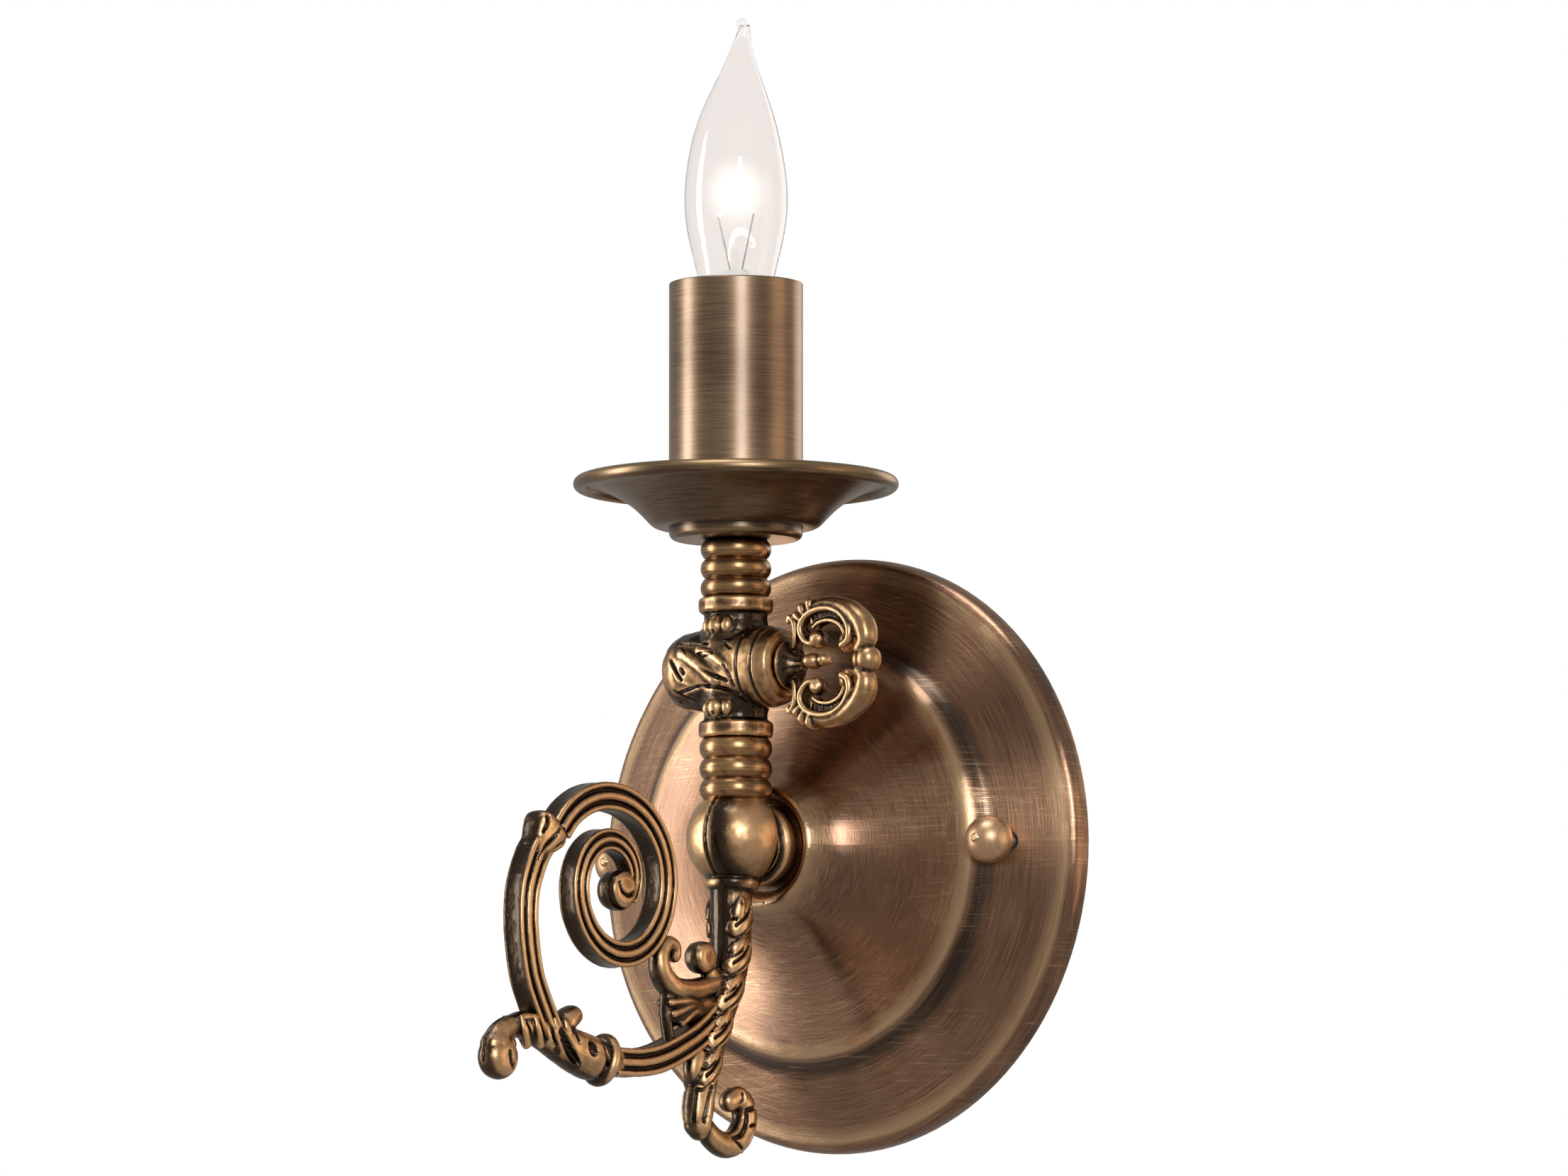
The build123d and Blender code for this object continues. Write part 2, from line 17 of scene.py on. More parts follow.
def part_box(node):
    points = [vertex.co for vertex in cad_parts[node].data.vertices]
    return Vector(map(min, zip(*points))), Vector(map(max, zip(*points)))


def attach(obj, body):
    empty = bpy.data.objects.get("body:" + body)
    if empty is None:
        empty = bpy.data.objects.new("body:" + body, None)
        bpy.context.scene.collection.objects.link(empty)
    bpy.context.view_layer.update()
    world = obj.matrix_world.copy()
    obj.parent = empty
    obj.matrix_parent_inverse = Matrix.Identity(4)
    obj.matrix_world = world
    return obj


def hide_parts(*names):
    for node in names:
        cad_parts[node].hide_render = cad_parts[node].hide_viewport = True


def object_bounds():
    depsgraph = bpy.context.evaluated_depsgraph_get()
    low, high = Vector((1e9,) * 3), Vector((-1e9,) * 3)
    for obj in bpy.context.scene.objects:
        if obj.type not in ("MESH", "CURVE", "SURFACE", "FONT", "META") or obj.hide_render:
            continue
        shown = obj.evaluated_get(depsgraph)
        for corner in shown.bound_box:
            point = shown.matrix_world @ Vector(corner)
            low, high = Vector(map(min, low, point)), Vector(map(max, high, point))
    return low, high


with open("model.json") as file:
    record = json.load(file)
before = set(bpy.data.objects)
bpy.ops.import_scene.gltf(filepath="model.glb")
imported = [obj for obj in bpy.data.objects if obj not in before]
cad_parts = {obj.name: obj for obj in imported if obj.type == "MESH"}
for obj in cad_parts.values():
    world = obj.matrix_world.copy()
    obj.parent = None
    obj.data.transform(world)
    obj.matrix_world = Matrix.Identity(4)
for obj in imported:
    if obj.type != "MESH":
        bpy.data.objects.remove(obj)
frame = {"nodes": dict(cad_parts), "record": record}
cad_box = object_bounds()
scene = bpy.context.scene

MM = 0.001


def box_mm(node):
    """Lowest and highest corner of a CAD node, in millimetres."""
    low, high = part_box(node)
    return low / MM, high / MM


def middle(node):
    low, high = box_mm(node)
    return (low + high) / 2


def put(name, data):
    """New object in the scene."""
    made = bpy.data.objects.new(name, data)
    scene.collection.objects.link(made)
    return made


# ----- places taken from the frame
COLUMN = middle("lower_bead_1").y  # the column's axis is at x = 0, y = COLUMN
BALL_TOP = box_mm("lower_bead_1")[0].z
BALL_R = 12.0
BALL_Z = 1.5
BARREL_Z = middle("gas_key").z
BARREL_R = 9.9
LOWER_COLLAR = (box_mm("lower_bead_3")[1].z, 4.1, 1)  # end next to the beads, height, way from it
UPPER_COLLAR = (box_mm("upper_bead_1")[0].z, 3.9, -1)
COLLAR_R = 8.95
KEY_LEFT = 16.15  # shoulder of the key, next to the barrel
KEY_RIGHT = box_mm("gas_key")[1].x
STRIP = 6.8  # width of the scroll's strip

VOXEL = 0.24
FINE_VOXEL = 0.22  # for the castings with the narrowest grooves
SIDES = 24  # corners round a bar or a ball


# ----- shells
def turns(count, last=0):
    """Angles evenly spaced round a circle; with last=1 the first comes again at the end."""
    return [2 * math.pi * i / count for i in range(count + last)]


def smooth_path(points, steps=6):
    """Points along a smooth curve through the given ones; any number of values to a point."""
    path = []
    last = len(points) - 1
    for i in range(last):
        p0, p1, p2, p3 = points[max(i - 1, 0)], points[i], points[i + 1], points[min(i + 2, last)]
        for step in range(steps):
            t = step / steps
            path.append(tuple(
                0.5 * (2 * b + (c - a) * t + (2 * a - 5 * b + 4 * c - d) * t ** 2
                       + (3 * b - a - 3 * c + d) * t ** 3)
                for a, b, c, d in zip(p0, p1, p2, p3)))
    path.append(tuple(points[-1]))
    return path


class Shells:
    """Overlapping closed shells, in millimetres."""

    def __init__(self):
        self.points = []
        self.faces = []

    def grid(self, rings, closed=False):
        """Skin through rings of points, capped at both ends unless it closes on itself."""
        first = len(self.points)
        size = len(rings[0])
        count = len(rings)
        for ring in rings:
            self.points += [tuple(p) for p in ring]
        for i in range(count if closed else count - 1):
            for j in range(size):
                here = first + i * size
                there = first + (i + 1) % count * size
                self.faces.append((here + j, here + (j + 1) % size, there + (j + 1) % size, there + j))
        if not closed:
            self.faces.append(tuple(first + j for j in reversed(range(size))))
            self.faces.append(tuple(first + (count - 1) * size + j for j in range(size)))

    def ball(self, centre, radius, scale=(1, 1, 1)):
        """Ball, or an egg where scale differs from 1."""
        rings = []
        layers = 18
        for i in range(1, layers):
            up = math.pi * i / layers - math.pi / 2
            rings.append([
                (centre[0] + radius * scale[0] * math.cos(up) * math.cos(turn),
                 centre[1] + radius * scale[1] * math.cos(up) * math.sin(turn),
                 centre[2] + radius * scale[2] * math.sin(up))
                for turn in turns(SIDES)])
        self.grid(rings)

    def limb(self, points, flat=1.0, side=(1, 0, 0), steps=6):
        """Round bar along (x, y, z, radius), flattened or widened along side, with round ends."""
        path = smooth_path(points, steps)
        side = Vector(side)
        rings = []
        for i, point in enumerate(path):
            before = Vector(path[max(i - 1, 0)][:3])
            along = (Vector(path[min(i + 1, len(path) - 1)][:3]) - before).normalized()
            across = (side - along * side.dot(along)).normalized()
            other = along.cross(across)
            centre = Vector(point[:3])
            radius = point[3]
            rings.append([
                centre + across * (radius * flat * math.cos(turn)) + other * (radius * math.sin(turn))
                for turn in turns(SIDES)])
        self.grid(rings)
        scale = tuple(1 + (flat - 1) * abs(part) for part in side)
        for point in (path[0], path[-1]):
            self.ball(point[:3], point[3] * 0.98, scale)

    def mid_limb(self, points, flat=1.0):
        """Bar in the plane x = 0, along (y, z, radius)."""
        self.limb([(0, *point) for point in points], flat)

    def ring(self, centre, axis, radius, section, flat=(1.0, 1.0)):
        """Torus; flat widens its circle along its two own directions."""
        axis = Vector(axis).normalized()
        first = axis.orthogonal().normalized() if abs(axis.x) > 0.9 else Vector((1, 0, 0))
        first = (first - axis * first.dot(axis)).normalized()
        second = axis.cross(first)
        rings = []
        for turn in turns(64):
            out = first * (math.cos(turn) * flat[0]) + second * (math.sin(turn) * flat[1])
            spot = Vector(centre) + out * radius
            out = out.normalized()
            rings.append([spot + out * (section * math.cos(a)) + axis * (section * math.sin(a))
                          for a in turns(14)])
        self.grid(rings, closed=True)

    def turned(self, centre, axis, profile, sides=72):
        """Solid turned about X, Y or Z from (place along the axis, radius)."""
        rings = []
        for place, radius in profile:
            ring = []
            for turn in turns(sides):
                a, b = radius * math.cos(turn), radius * math.sin(turn)
                local = {"X": (place, a, b), "Y": (b, place, a), "Z": (a, b, place)}[axis]
                ring.append(tuple(c + p for c, p in zip(centre, local)))
            rings.append(ring)
        self.grid(rings)

    def strip(self, points, steps=8):
        """Scroll strip in the YZ plane along (y, z, width), with three ridges on both faces."""
        path = smooth_path(points, steps)
        rings = []
        for i, (y, z, width) in enumerate(path):
            before, after = path[max(i - 1, 0)], path[min(i + 1, len(path) - 1)]
            run = math.hypot(after[0] - before[0], after[1] - before[1])
            normal = (-(after[1] - before[1]) / run, (after[0] - before[0]) / run)
            share = width / STRIP
            rings.append([
                (w * min(1.0, 0.35 + 0.65 * share), y + normal[0] * u * share, z + normal[1] * u * share)
                for u, w in strip_section()])
        self.grid(rings)


def strip_section():
    """Outline (u, w) of the strip: u across the strip, w along X."""
    half = STRIP / 2
    thick = 2.95  # half its thickness along X
    corner = 0.75  # radius of its rounded corners
    face = []
    count = 34
    for i in range(count + 1):
        place = 1 - 2 * i / count
        groove = 1.25 * math.exp(-((abs(place) - 0.43) / 0.15) ** 2)
        crown = 0.22 * (math.cos(math.pi * place / 0.84) if abs(place) < 0.42 else 0)
        past = max(0.0, (abs(place) - 1 + corner / half) / (corner / half))
        rounding = corner * (1 - math.sqrt(max(0.0, 1 - past ** 2)))
        face.append((half * place, thick - groove + crown - rounding))
    edge = [thick - corner - (2 * thick - 2 * corner) * i / 8 for i in range(1, 8)]
    outline = list(face)
    outline += [(-half + 0.25 * math.cos(w / thick * 1.5), w) for w in edge]
    outline += [(u, -w) for u, w in reversed(face)]
    outline += [(half - 0.25 * math.cos(w / thick * 1.5), w) for w in reversed(edge)]
    return outline


# ----- from shells to a finished casting
def averaged(values, edges, rounds, shares=(0.5,)):
    """Values (or points) moved towards the mean of their neighbours, again and again.

    The shares are taken in turn; a negative second one keeps the volume.
    """
    values = values.reshape(len(values), -1)
    count = np.bincount(edges.ravel(), minlength=len(values))[:, None].clip(1)
    ends = np.concatenate([edges[:, 0], edges[:, 1]])
    others = np.concatenate([edges[:, 1], edges[:, 0]])
    for turn in range(rounds):
        total = np.stack([np.bincount(ends, weights=values[others, k], minlength=len(values))
                          for k in range(values.shape[1])], axis=1)
        values = values + shares[turn % len(shares)] * (total / count - values)
    return values


def distance_to(points, line):
    """Distance of each point to a polyline."""
    best = np.full(len(points), 1e9)
    for a, b in zip(line, line[1:]):
        a, b = np.array(a[:3]), np.array(b[:3])
        run = b - a
        share = np.clip(((points - a) @ run) / max(run @ run, 1e-9), 0, 1)
        best = np.minimum(best, np.linalg.norm(points - a - share[:, None] * run, axis=1))
    return best


def mesh_arrays(mesh):
    points = np.zeros(len(mesh.vertices) * 3)
    mesh.vertices.foreach_get("co", points)
    normals = np.zeros(len(mesh.vertices) * 3)
    mesh.vertices.foreach_get("normal", normals)
    edges = np.zeros(len(mesh.edges) * 2, int)
    mesh.edges.foreach_get("vertices", edges)
    return points.reshape(-1, 3), normals.reshape(-1, 3), edges.reshape(-1, 2)


def store_points(mesh, points):
    mesh.vertices.foreach_set("co", points.astype(np.float32).ravel())
    mesh.update()


def eased(values, low, high):
    """0 up to low, 1 from high on, and smooth between them."""
    share = np.clip((values - low) / (high - low), 0, 1)
    return share * share * (3 - 2 * share)


def both_sides(lines, out, depth):
    """Engraving on the +X and the -X side, out from x = 0; a line is (((y, z), ...), half width)."""
    return [([(side * out, y, z) for y, z in line], half_width, depth)
            for side in (-1, 1) for line, half_width in lines]


def side_polish(points, normals):
    """The flat sides (facing +X and -X) were polished; the edges stayed black."""
    return 0.44 * eased(np.abs(normals[:, 0]), 0.42, 0.80) - 0.26


def cast(node, shells, body, engraving=(), patina=side_polish, voxel=VOXEL, rough=0.05):
    """Fuses shells into one skin, engraves it, roughens it and stores its relief.

    It takes the place of the CAD node. engraving is a list of (line, half width, depth), and a
    line of a few points becomes a curve. patina gives each point's extra relief.
    """
    name = node + "_cast"
    mesh = bpy.data.meshes.new(name)
    mesh.from_pydata(shells.points, [], shells.faces)
    piece = put(name, mesh)
    fuse = piece.modifiers.new("Fuse", "REMESH")
    fuse.mode = "VOXEL"
    fuse.voxel_size = voxel
    graph = bpy.context.evaluated_depsgraph_get()
    fused = bpy.data.meshes.new_from_object(piece.evaluated_get(graph))
    piece.modifiers.clear()
    piece.data = fused
    points, _, edges = mesh_arrays(fused)
    points = averaged(points, edges, 12, (0.5, -0.52))  # the voxels' steps go, the volume stays
    store_points(fused, points)
    _, normals, _ = mesh_arrays(fused)
    base = patina(points, normals)
    depth = np.zeros(len(points))
    for line, half_width, deep in engraving:
        if 2 < len(line) < 8:
            line = smooth_path(line, 3)
        share = distance_to(points, line) / half_width
        depth = np.maximum(depth, deep * np.clip(1 - share ** 2, 0, 1) ** 0.7)
    wobble = np.array([noise.noise(Vector(p) * 0.55) for p in points])
    points = points + normals * (rough * wobble - depth)[:, None]
    store_points(fused, points)
    points, normals, edges = mesh_arrays(fused)
    fine = ((points - averaged(points, edges, 16)) * normals).sum(axis=1)
    broad = ((points - averaged(points, edges, 90)) * normals).sum(axis=1)
    relief = 0.5 + 1.5 * fine + 0.75 * broad - 0.5 * np.clip(depth, 0, 0.7) + base
    relief = averaged(relief, edges, 3)[:, 0]
    store_points(fused, points * MM)
    shade = fused.attributes.new("relief", "FLOAT", "POINT")
    shade.data.foreach_set("value", np.clip(relief, 0, 1).astype(np.float32))
    fused.polygons.foreach_set("use_smooth", [True] * len(fused.polygons))
    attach(piece, body)
    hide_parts(node)
    fused.materials.clear()
    fused.materials.append(MATERIALS["cast_brass"])


# ----- materials
MATERIALS = {}


class Paint:
    """A material with one Principled shader, and short calls for the nodes that feed it."""

    def __init__(self, name, metallic=0.0, **constants):
        MATERIALS[name] = bpy.data.materials.new(name)
        MATERIALS[name].use_nodes = True
        self.tree = MATERIALS[name].node_tree
        self.shader = self.tree.nodes["Principled BSDF"]
        self.set(Metallic=metallic, **constants)
        self.place = self.node("ShaderNodeTexCoord").outputs["Object"]

    def set(self, **constants):
        for key, value in constants.items():
            self.shader.inputs[key.replace("_", " ")].default_value = value

    def node(self, kind, inputs=None, **settings):
        made = self.tree.nodes.new(kind)
        for key, value in settings.items():
            setattr(made, key, value)
        for key, value in (inputs or {}).items():
            if isinstance(value, bpy.types.NodeSocket):
                self.tree.links.new(value, made.inputs[key])
            else:
                made.inputs[key].default_value = value
        return made

    def stretched(self, scale, rotation=(0, 0, 0)):
        mapping = self.node("ShaderNodeMapping", {"Vector": self.place, "Scale": scale,
                                                  "Rotation": rotation})
        return mapping.outputs["Vector"]

    def noise(self, scale, detail, roughness=0.5, place=None):
        made = self.node("ShaderNodeTexNoise", {"Vector": place or self.place, "Scale": scale,
                                                "Detail": detail, "Roughness": roughness})
        return made.outputs["Fac"]

    def math(self, operation, a, b=0.0, c=0.0):
        made = self.node("ShaderNodeMath", {0: a, 1: b, 2: c}, operation=operation)
        return made.outputs[0]

    def vector(self, operation, a, **more):
        made = self.node("ShaderNodeVectorMath", {0: a, **more}, operation=operation)
        return made.outputs["Value" if operation == "LENGTH" else "Vector"]

    def ramp(self, value, *stops):
        """Colour ramp; a stop is (position, red, green, blue)."""
        made = self.node("ShaderNodeValToRGB", {"Fac": value})
        elements = made.color_ramp.elements
        while len(elements) < len(stops):
            elements.new(0.5)
        for element, (position, *colour) in zip(elements, stops):
            element.position = position
            element.color = (*colour, 1)
        return made.outputs["Color"]

    def span(self, value, low, high, to_low, to_high):
        made = self.node("ShaderNodeMapRange", {"Value": value, "From Min": low, "From Max": high,
                                                "To Min": to_low, "To Max": to_high})
        return made.outputs["Result"]

    def mix(self, share, a, b):
        """Between two colours, a and b."""
        made = self.node("ShaderNodeMix", data_type="RGBA")
        for socket, value in (("Factor_Float", share), ("A_Color", a), ("B_Color", b)):
            found = next(s for s in made.inputs if s.identifier == socket)
            if isinstance(value, bpy.types.NodeSocket):
                self.tree.links.new(value, found)
            else:
                found.default_value = value
        return next(s for s in made.outputs if s.identifier == "Result_Color")

    def colour(self, socket):
        self.tree.links.new(socket, self.shader.inputs["Base Color"])

    def roughness(self, socket):
        self.tree.links.new(socket, self.shader.inputs["Roughness"])

    def bump(self, height, distance, strength=1.0, over=None):
        inputs = {"Height": height, "Distance": distance, "Strength": strength}
        if over is not None:
            inputs["Normal"] = over
        made = self.node("ShaderNodeBump", inputs)
        self.tree.links.new(made.outputs["Normal"], self.shader.inputs["Normal"])
        return made.outputs["Normal"]

    def tangent(self, axis):
        made = self.node("ShaderNodeTangent", direction_type="RADIAL", axis=axis)
        self.tree.links.new(made.outputs["Tangent"], self.shader.inputs["Tangent"])

    def hollows(self, reach):
        """Near 0 in creases and recesses, 1 in the open."""
        return self.node("ShaderNodeAmbientOcclusion", {"Distance": reach}, samples=6).outputs["AO"]


def cast_brass():
    """Cast brass, blackened and polished back: the relief decides how much black is left."""
    paint = Paint("cast_brass", metallic=1.0, Coat_Weight=0.4, Coat_Roughness=0.12)
    relief = paint.node("ShaderNodeAttribute", attribute_name="relief").outputs["Fac"]
    blotch = paint.math("SUBTRACT", paint.noise(260, 3), 0.5)
    grain = paint.math("SUBTRACT", paint.noise(1900, 3), 0.5)
    black_to_gold = paint.math("MULTIPLY_ADD", blotch, 0.26, relief)
    black_to_gold = paint.math("MULTIPLY_ADD", grain, 0.20, black_to_gold)
    paint.colour(paint.ramp(
        black_to_gold, (0.28, 0.052, 0.033, 0.020), (0.46, 0.098, 0.062, 0.036), (0.57, 0.19, 0.115, 0.062),
        (0.67, 0.45, 0.265, 0.130), (0.95, 0.90, 0.58, 0.31)))
    paint.roughness(paint.span(black_to_gold, 0.40, 0.75, 0.27, 0.36))
    hammered = paint.math("MULTIPLY", paint.noise(620, 2),
                          paint.span(black_to_gold, 0.40, 0.62, 1.0, 0.12))
    first = paint.bump(hammered, 0.00022, 0.8)
    pits = paint.noise(2600, 4, 0.65)
    paint.bump(pits, 0.00005, 0.6, over=first)


PATINA_AND_SHADE_BLACK = (0.035, 0.022, 0.014, 1)  # black of patina and painted shade, in creases, recesses and unworn bands
SCRATCHES = (  # (stretch, turn) of the four sets of scratches
    ((34, 12, 1500), (0, 0.5, 0)), ((28, 12, 1300), (0, -0.35, 0)),
    ((38, 12, 1700), (0, 1.2, 0)), ((28, 12, 1200), (0, 1.9, 0)),
)


def brushed_brass(name, low, high, axis, fine, rough=(0.30, 0.42), coat=0.8, scratches=0.0,
                  gold=(0.66, 0.45, 0.23), aniso=0.6, reach=0.0025, wear_and_painted_light=(), drift=1.0):
    """Turned or spun brass under brown patina, with fine lines round its axis.

    low and high are the patina's colours, fine is how close the lines lie, and reach (in metres)
    is how far black spreads from a crease or recess; that black is patina and painted shade.
    The bands are (distance in mm, value): 0 is black, 0.5 is even patina, 1 is rubbed to gold;
    the gold bands are rubbed edges and painted highlights, the black ones patina and painted shade.
    The distance is the radius for axis Y and the height for axis Z. drift is how much the patina
    clouds.
    """
    paint = Paint(name, metallic=1.0, Coat_Weight=coat, Coat_Roughness=0.24, Anisotropic=aniso,
                  Anisotropic_Rotation=0.25)
    parts = paint.node("ShaderNodeSeparateXYZ", {"Vector": paint.place}).outputs
    if axis == "Y":
        flat = paint.node("ShaderNodeCombineXYZ", {"X": parts["X"], "Z": parts["Z"]}).outputs[0]
        distance = paint.vector("LENGTH", flat)
        turned = paint.vector("SCALE", paint.vector("NORMALIZE", flat), Scale=5.0)
        deep = paint.node("ShaderNodeCombineXYZ", {"Y": paint.math("MULTIPLY", distance, fine)})
        lines = paint.node("ShaderNodeVectorMath", {0: turned, 1: deep.outputs[0]}).outputs[0]
    else:
        distance = parts["Z"]
        lines = paint.stretched((90, 90, fine))
    brush = paint.noise(1.0, 5, 0.6, lines)
    cloud = paint.noise(45, 3)
    tone = paint.math("MULTIPLY_ADD", paint.math("SUBTRACT", brush, 0.5), 1.3,
                      paint.span(cloud, 0.0, 1.0, 0.5 - drift / 2, 0.5 + drift / 2))
    shaded = paint.ramp(tone, (0.25, *low), (0.75, *high))
    # Bands of gold and black: rubbed edges and patina, and painted highlights on rims and ridges and
    # painted shade in grooves.
    if wear_and_painted_light:
        first, last = wear_and_painted_light[0][0] * MM, wear_and_painted_light[-1][0] * MM
        share = paint.span(distance, first, last, 0.0, 1.0)
        black_to_gold = paint.ramp(share, *[((d * MM - first) / (last - first), w, w, w) for d, w in wear_and_painted_light])
        black_to_gold = paint.math("MULTIPLY_ADD", paint.math("SUBTRACT", tone, 0.5), 0.25, black_to_gold)
        shaded = paint.mix(paint.span(black_to_gold, 0.55, 1.0, 0.0, 0.9), shaded, (*gold, 1))
        shaded = paint.mix(paint.span(black_to_gold, 0.45, 0.05, 0.0, 0.95), shaded, PATINA_AND_SHADE_BLACK)
    # Painted shade and patina: black where ambient occlusion finds creases, recesses, lip undersides and
    # gaps between parts.
    open_air = paint.hollows(reach)
    shaded = paint.mix(paint.span(open_air, 0.25, 0.85, 1.0, 0.0), shaded, PATINA_AND_SHADE_BLACK)
    marks = None
    if scratches:
        for index, (scale, rotation) in enumerate(SCRATCHES):
            field = paint.noise(1.0, 1, place=paint.stretched(scale, rotation))
            edge = paint.math("ABSOLUTE", paint.math("SUBTRACT", field, 0.42 + 0.05 * index))
            mark = paint.span(edge, 0.0, 0.014, scratches, 0.0)
            gate = paint.span(paint.noise(30 + 9 * index, 1), 0.5, 0.6, 0.0, 1.0)
            mark = paint.math("MULTIPLY", mark, gate)
            marks = mark if marks is None else paint.math("MAXIMUM", marks, mark)
        shaded = paint.mix(marks, shaded, (*gold, 1))
    paint.colour(shaded)
    paint.roughness(paint.span(brush, 0.3, 0.7, *rough))
    first = paint.bump(brush, 0.00004, 0.55)
    if marks is not None:
        paint.bump(marks, 0.00001, 0.3, over=first)
    paint.tangent(axis)


def plain(name, colour, metallic=0.0, roughness=0.4, grain=900, depth=0.00003, spread=0.08):
    """Small parts: a colour that varies a little, a roughness that varies, and a fine bump."""
    paint = Paint(name, metallic=metallic)
    field = paint.noise(grain, 4)
    dark = tuple(max(0.0, c * (1 - 2.2 * spread)) for c in colour)
    light = tuple(min(1.0, c * (1 + 1.2 * spread)) for c in colour)
    paint.colour(paint.ramp(field, (0.3, *dark), (0.7, *light)))
    paint.roughness(paint.span(field, 0.3, 0.7, max(0.05, roughness - 0.08), roughness + 0.1))
    paint.bump(field, depth, 0.6)


def clear_glass(name, colour, roughness=0.0, level=0.5):
    """Clear glass; level is how strongly its surface mirrors."""
    paint = Paint(name, Transmission_Weight=1.0, Roughness=roughness, IOR=1.47, Specular_IOR_Level=level)
    paint.set(Base_Color=(*colour, 1))


def glowing(name, colour, strength):
    """Hot metal that gives light."""
    paint = Paint(name, Roughness=0.6)
    paint.set(Base_Color=(*colour, 1), Emission_Color=(*colour, 1), Emission_Strength=strength)


PLATE_WEAR_AND_PAINTED_LIGHT = (  # (distance from the plate's axis, value): gold rings are rubbed edges and painted highlights, dark bands patina and painted shade
    (10.5, 0.40), (12.6, 0.75), (14.0, 1.0), (16.0, 0.75), (19.0, 0.5), (45.5, 0.5), (48.4, 0.85),
    (49.6, 1.0), (50.5, 0.5), (51.3, 0.1), (52.8, 0.12), (55.5, 0.44), (65.5, 0.5), (68.5, 0.8),
    (69.6, 0.95), (70.8, 0.5), (72.4, 0.35),
)
PAN_WEAR_AND_PAINTED_LIGHT = (  # (height, value): gold bands are rubbed rims and painted highlights
    (73.4, 0.45), (74.4, 0.7), (75.4, 0.45), (84.0, 0.45), (86.2, 0.62), (87.6, 0.8), (90.0, 0.6),
)
cast_brass()
brushed_brass("plate_brass", (0.19, 0.099, 0.056), (0.46, 0.262, 0.158), "Y", 5200, scratches=0.6,
              reach=0.0035, aniso=0.9, rough=(0.21, 0.29), coat=0.6, drift=0.5,
              gold=(0.80, 0.54, 0.31), wear_and_painted_light=PLATE_WEAR_AND_PAINTED_LIGHT)
brushed_brass("knob_brass", (0.58, 0.37, 0.215), (0.84, 0.56, 0.34), "Y", 3000,
              rough=(0.36, 0.45), coat=0.15, aniso=0.1)
brushed_brass("bead_brass", (0.18, 0.092, 0.040), (0.60, 0.355, 0.165), "Z", 3600,
              rough=(0.25, 0.35), coat=0.4, aniso=0.3, reach=0.003)
# Its long reach paints shade under the pan's lip and between its bowl and the seat ring, along with
# patina in creases.
brushed_brass("spun_brass", (0.11, 0.068, 0.036), (0.26, 0.17, 0.10), "Z", 4200,
              rough=(0.30, 0.42), coat=0.6, reach=0.007, wear_and_painted_light=PAN_WEAR_AND_PAINTED_LIGHT)
brushed_brass("cover_brass", (0.19, 0.117, 0.068), (0.39, 0.268, 0.170), "Z", 5200,
              rough=(0.34, 0.46), aniso=0.5)
plain("steel", (0.56, 0.56, 0.54), metallic=1.0, roughness=0.34)
plain("green_screw", (0.05, 0.30, 0.12), metallic=0.6, roughness=0.35)
plain("shell_brass", (0.78, 0.62, 0.33), metallic=1.0, roughness=0.25)
plain("socket_black", (0.025, 0.024, 0.023), roughness=0.32)
plain("card", (0.58, 0.47, 0.33), roughness=0.85, grain=1500, depth=0.00008, spread=0.12)
clear_glass("glass", (0.94, 0.905, 0.885), level=0.08)
clear_glass("stem_glass", (0.93, 0.95, 0.94), 0.05)
plain("black_glass", (0.02, 0.02, 0.022), roughness=0.15)
plain("solder", (0.66, 0.66, 0.64), metallic=1.0, roughness=0.35)
glowing("filament", (1.0, 0.86, 0.62), 12.0)
plain("lead_white", (0.82, 0.82, 0.77), roughness=0.45)
plain("lead_black", (0.03, 0.03, 0.03), roughness=0.45)
plain("connector", (0.82, 0.33, 0.05), roughness=0.35)

for part in frame["record"]["subparts"]:
    mesh = frame["nodes"][part["node"]].data
    mesh.materials.clear()
    mesh.materials.append(MATERIALS[part["material_slot"]])


# ----- arm casting
BAR = [  # (x, y, z, radius) of the tail's round bar
    (0, -46.5, -9.5, 5.1), (0, -46.4, -21.0, 5.0), (0, -47.1, -28.5, 4.8), (0, -49.4, -35.7, 4.5),
    (0, -52.4, -43.0, 4.1), (0, -55.3, -50.3, 3.9), (0, -57.5, -57.5, 3.7), (0, -58.8, -63.6, 3.7),
    (0, -59.2, -67.8, 3.4),
]
BAR_FINE = smooth_path(BAR, 12)
LEAVES = 5
LEAF_PITCH = 9.1
LEAF_FIRST = -22.6  # height of the first leaf's lower corner
LEAF = (  # (height over that corner, angle, lift, half width)
    (0.5, 57, -0.2, 0.5), (0.9, 53, 0.1, 1.5), (1.8, 41, 0.15, 2.3), (3.3, 20, 0.05, 2.7),
    (5.4, -4, -0.25, 2.6), (7.8, -28, -0.6, 2.2), (9.4, -44, -0.8, 1.2),
)
TONGUE = (
    (5.0, 54, -0.2, 0.4), (5.3, 48, 0.0, 1.1), (6.0, 37, 0.1, 1.6), (7.3, 20, -0.1, 1.5),
    (8.8, 4, -0.3, 0.7))
LEAF_CUTS = (  # (((height, angle), ...), half width, depth)
    (((2.6, 38), (3.7, 24), (5.2, 6), (7.4, -12)), 0.6, 1.3),
    (((4.1, 60), (4.1, 44), (4.9, 30), (6.2, 14)), 0.42, 0.9),
    (((-0.6, 62), (-0.7, 44), (0.2, 22), (2.2, 0), (4.8, -26)), 0.55, 0.9),
)


def on_bar(height, angle, lift=0.0, side=1):
    """Point on the tail's bar: angle 0 faces sideways, 90 faces away from the wall."""
    point = min(BAR_FINE, key=lambda p: abs(p[2] - height))
    turn = math.radians(angle)
    radius = point[3] + lift
    return (side * radius * math.cos(turn), point[1] - radius * math.sin(turn), height)


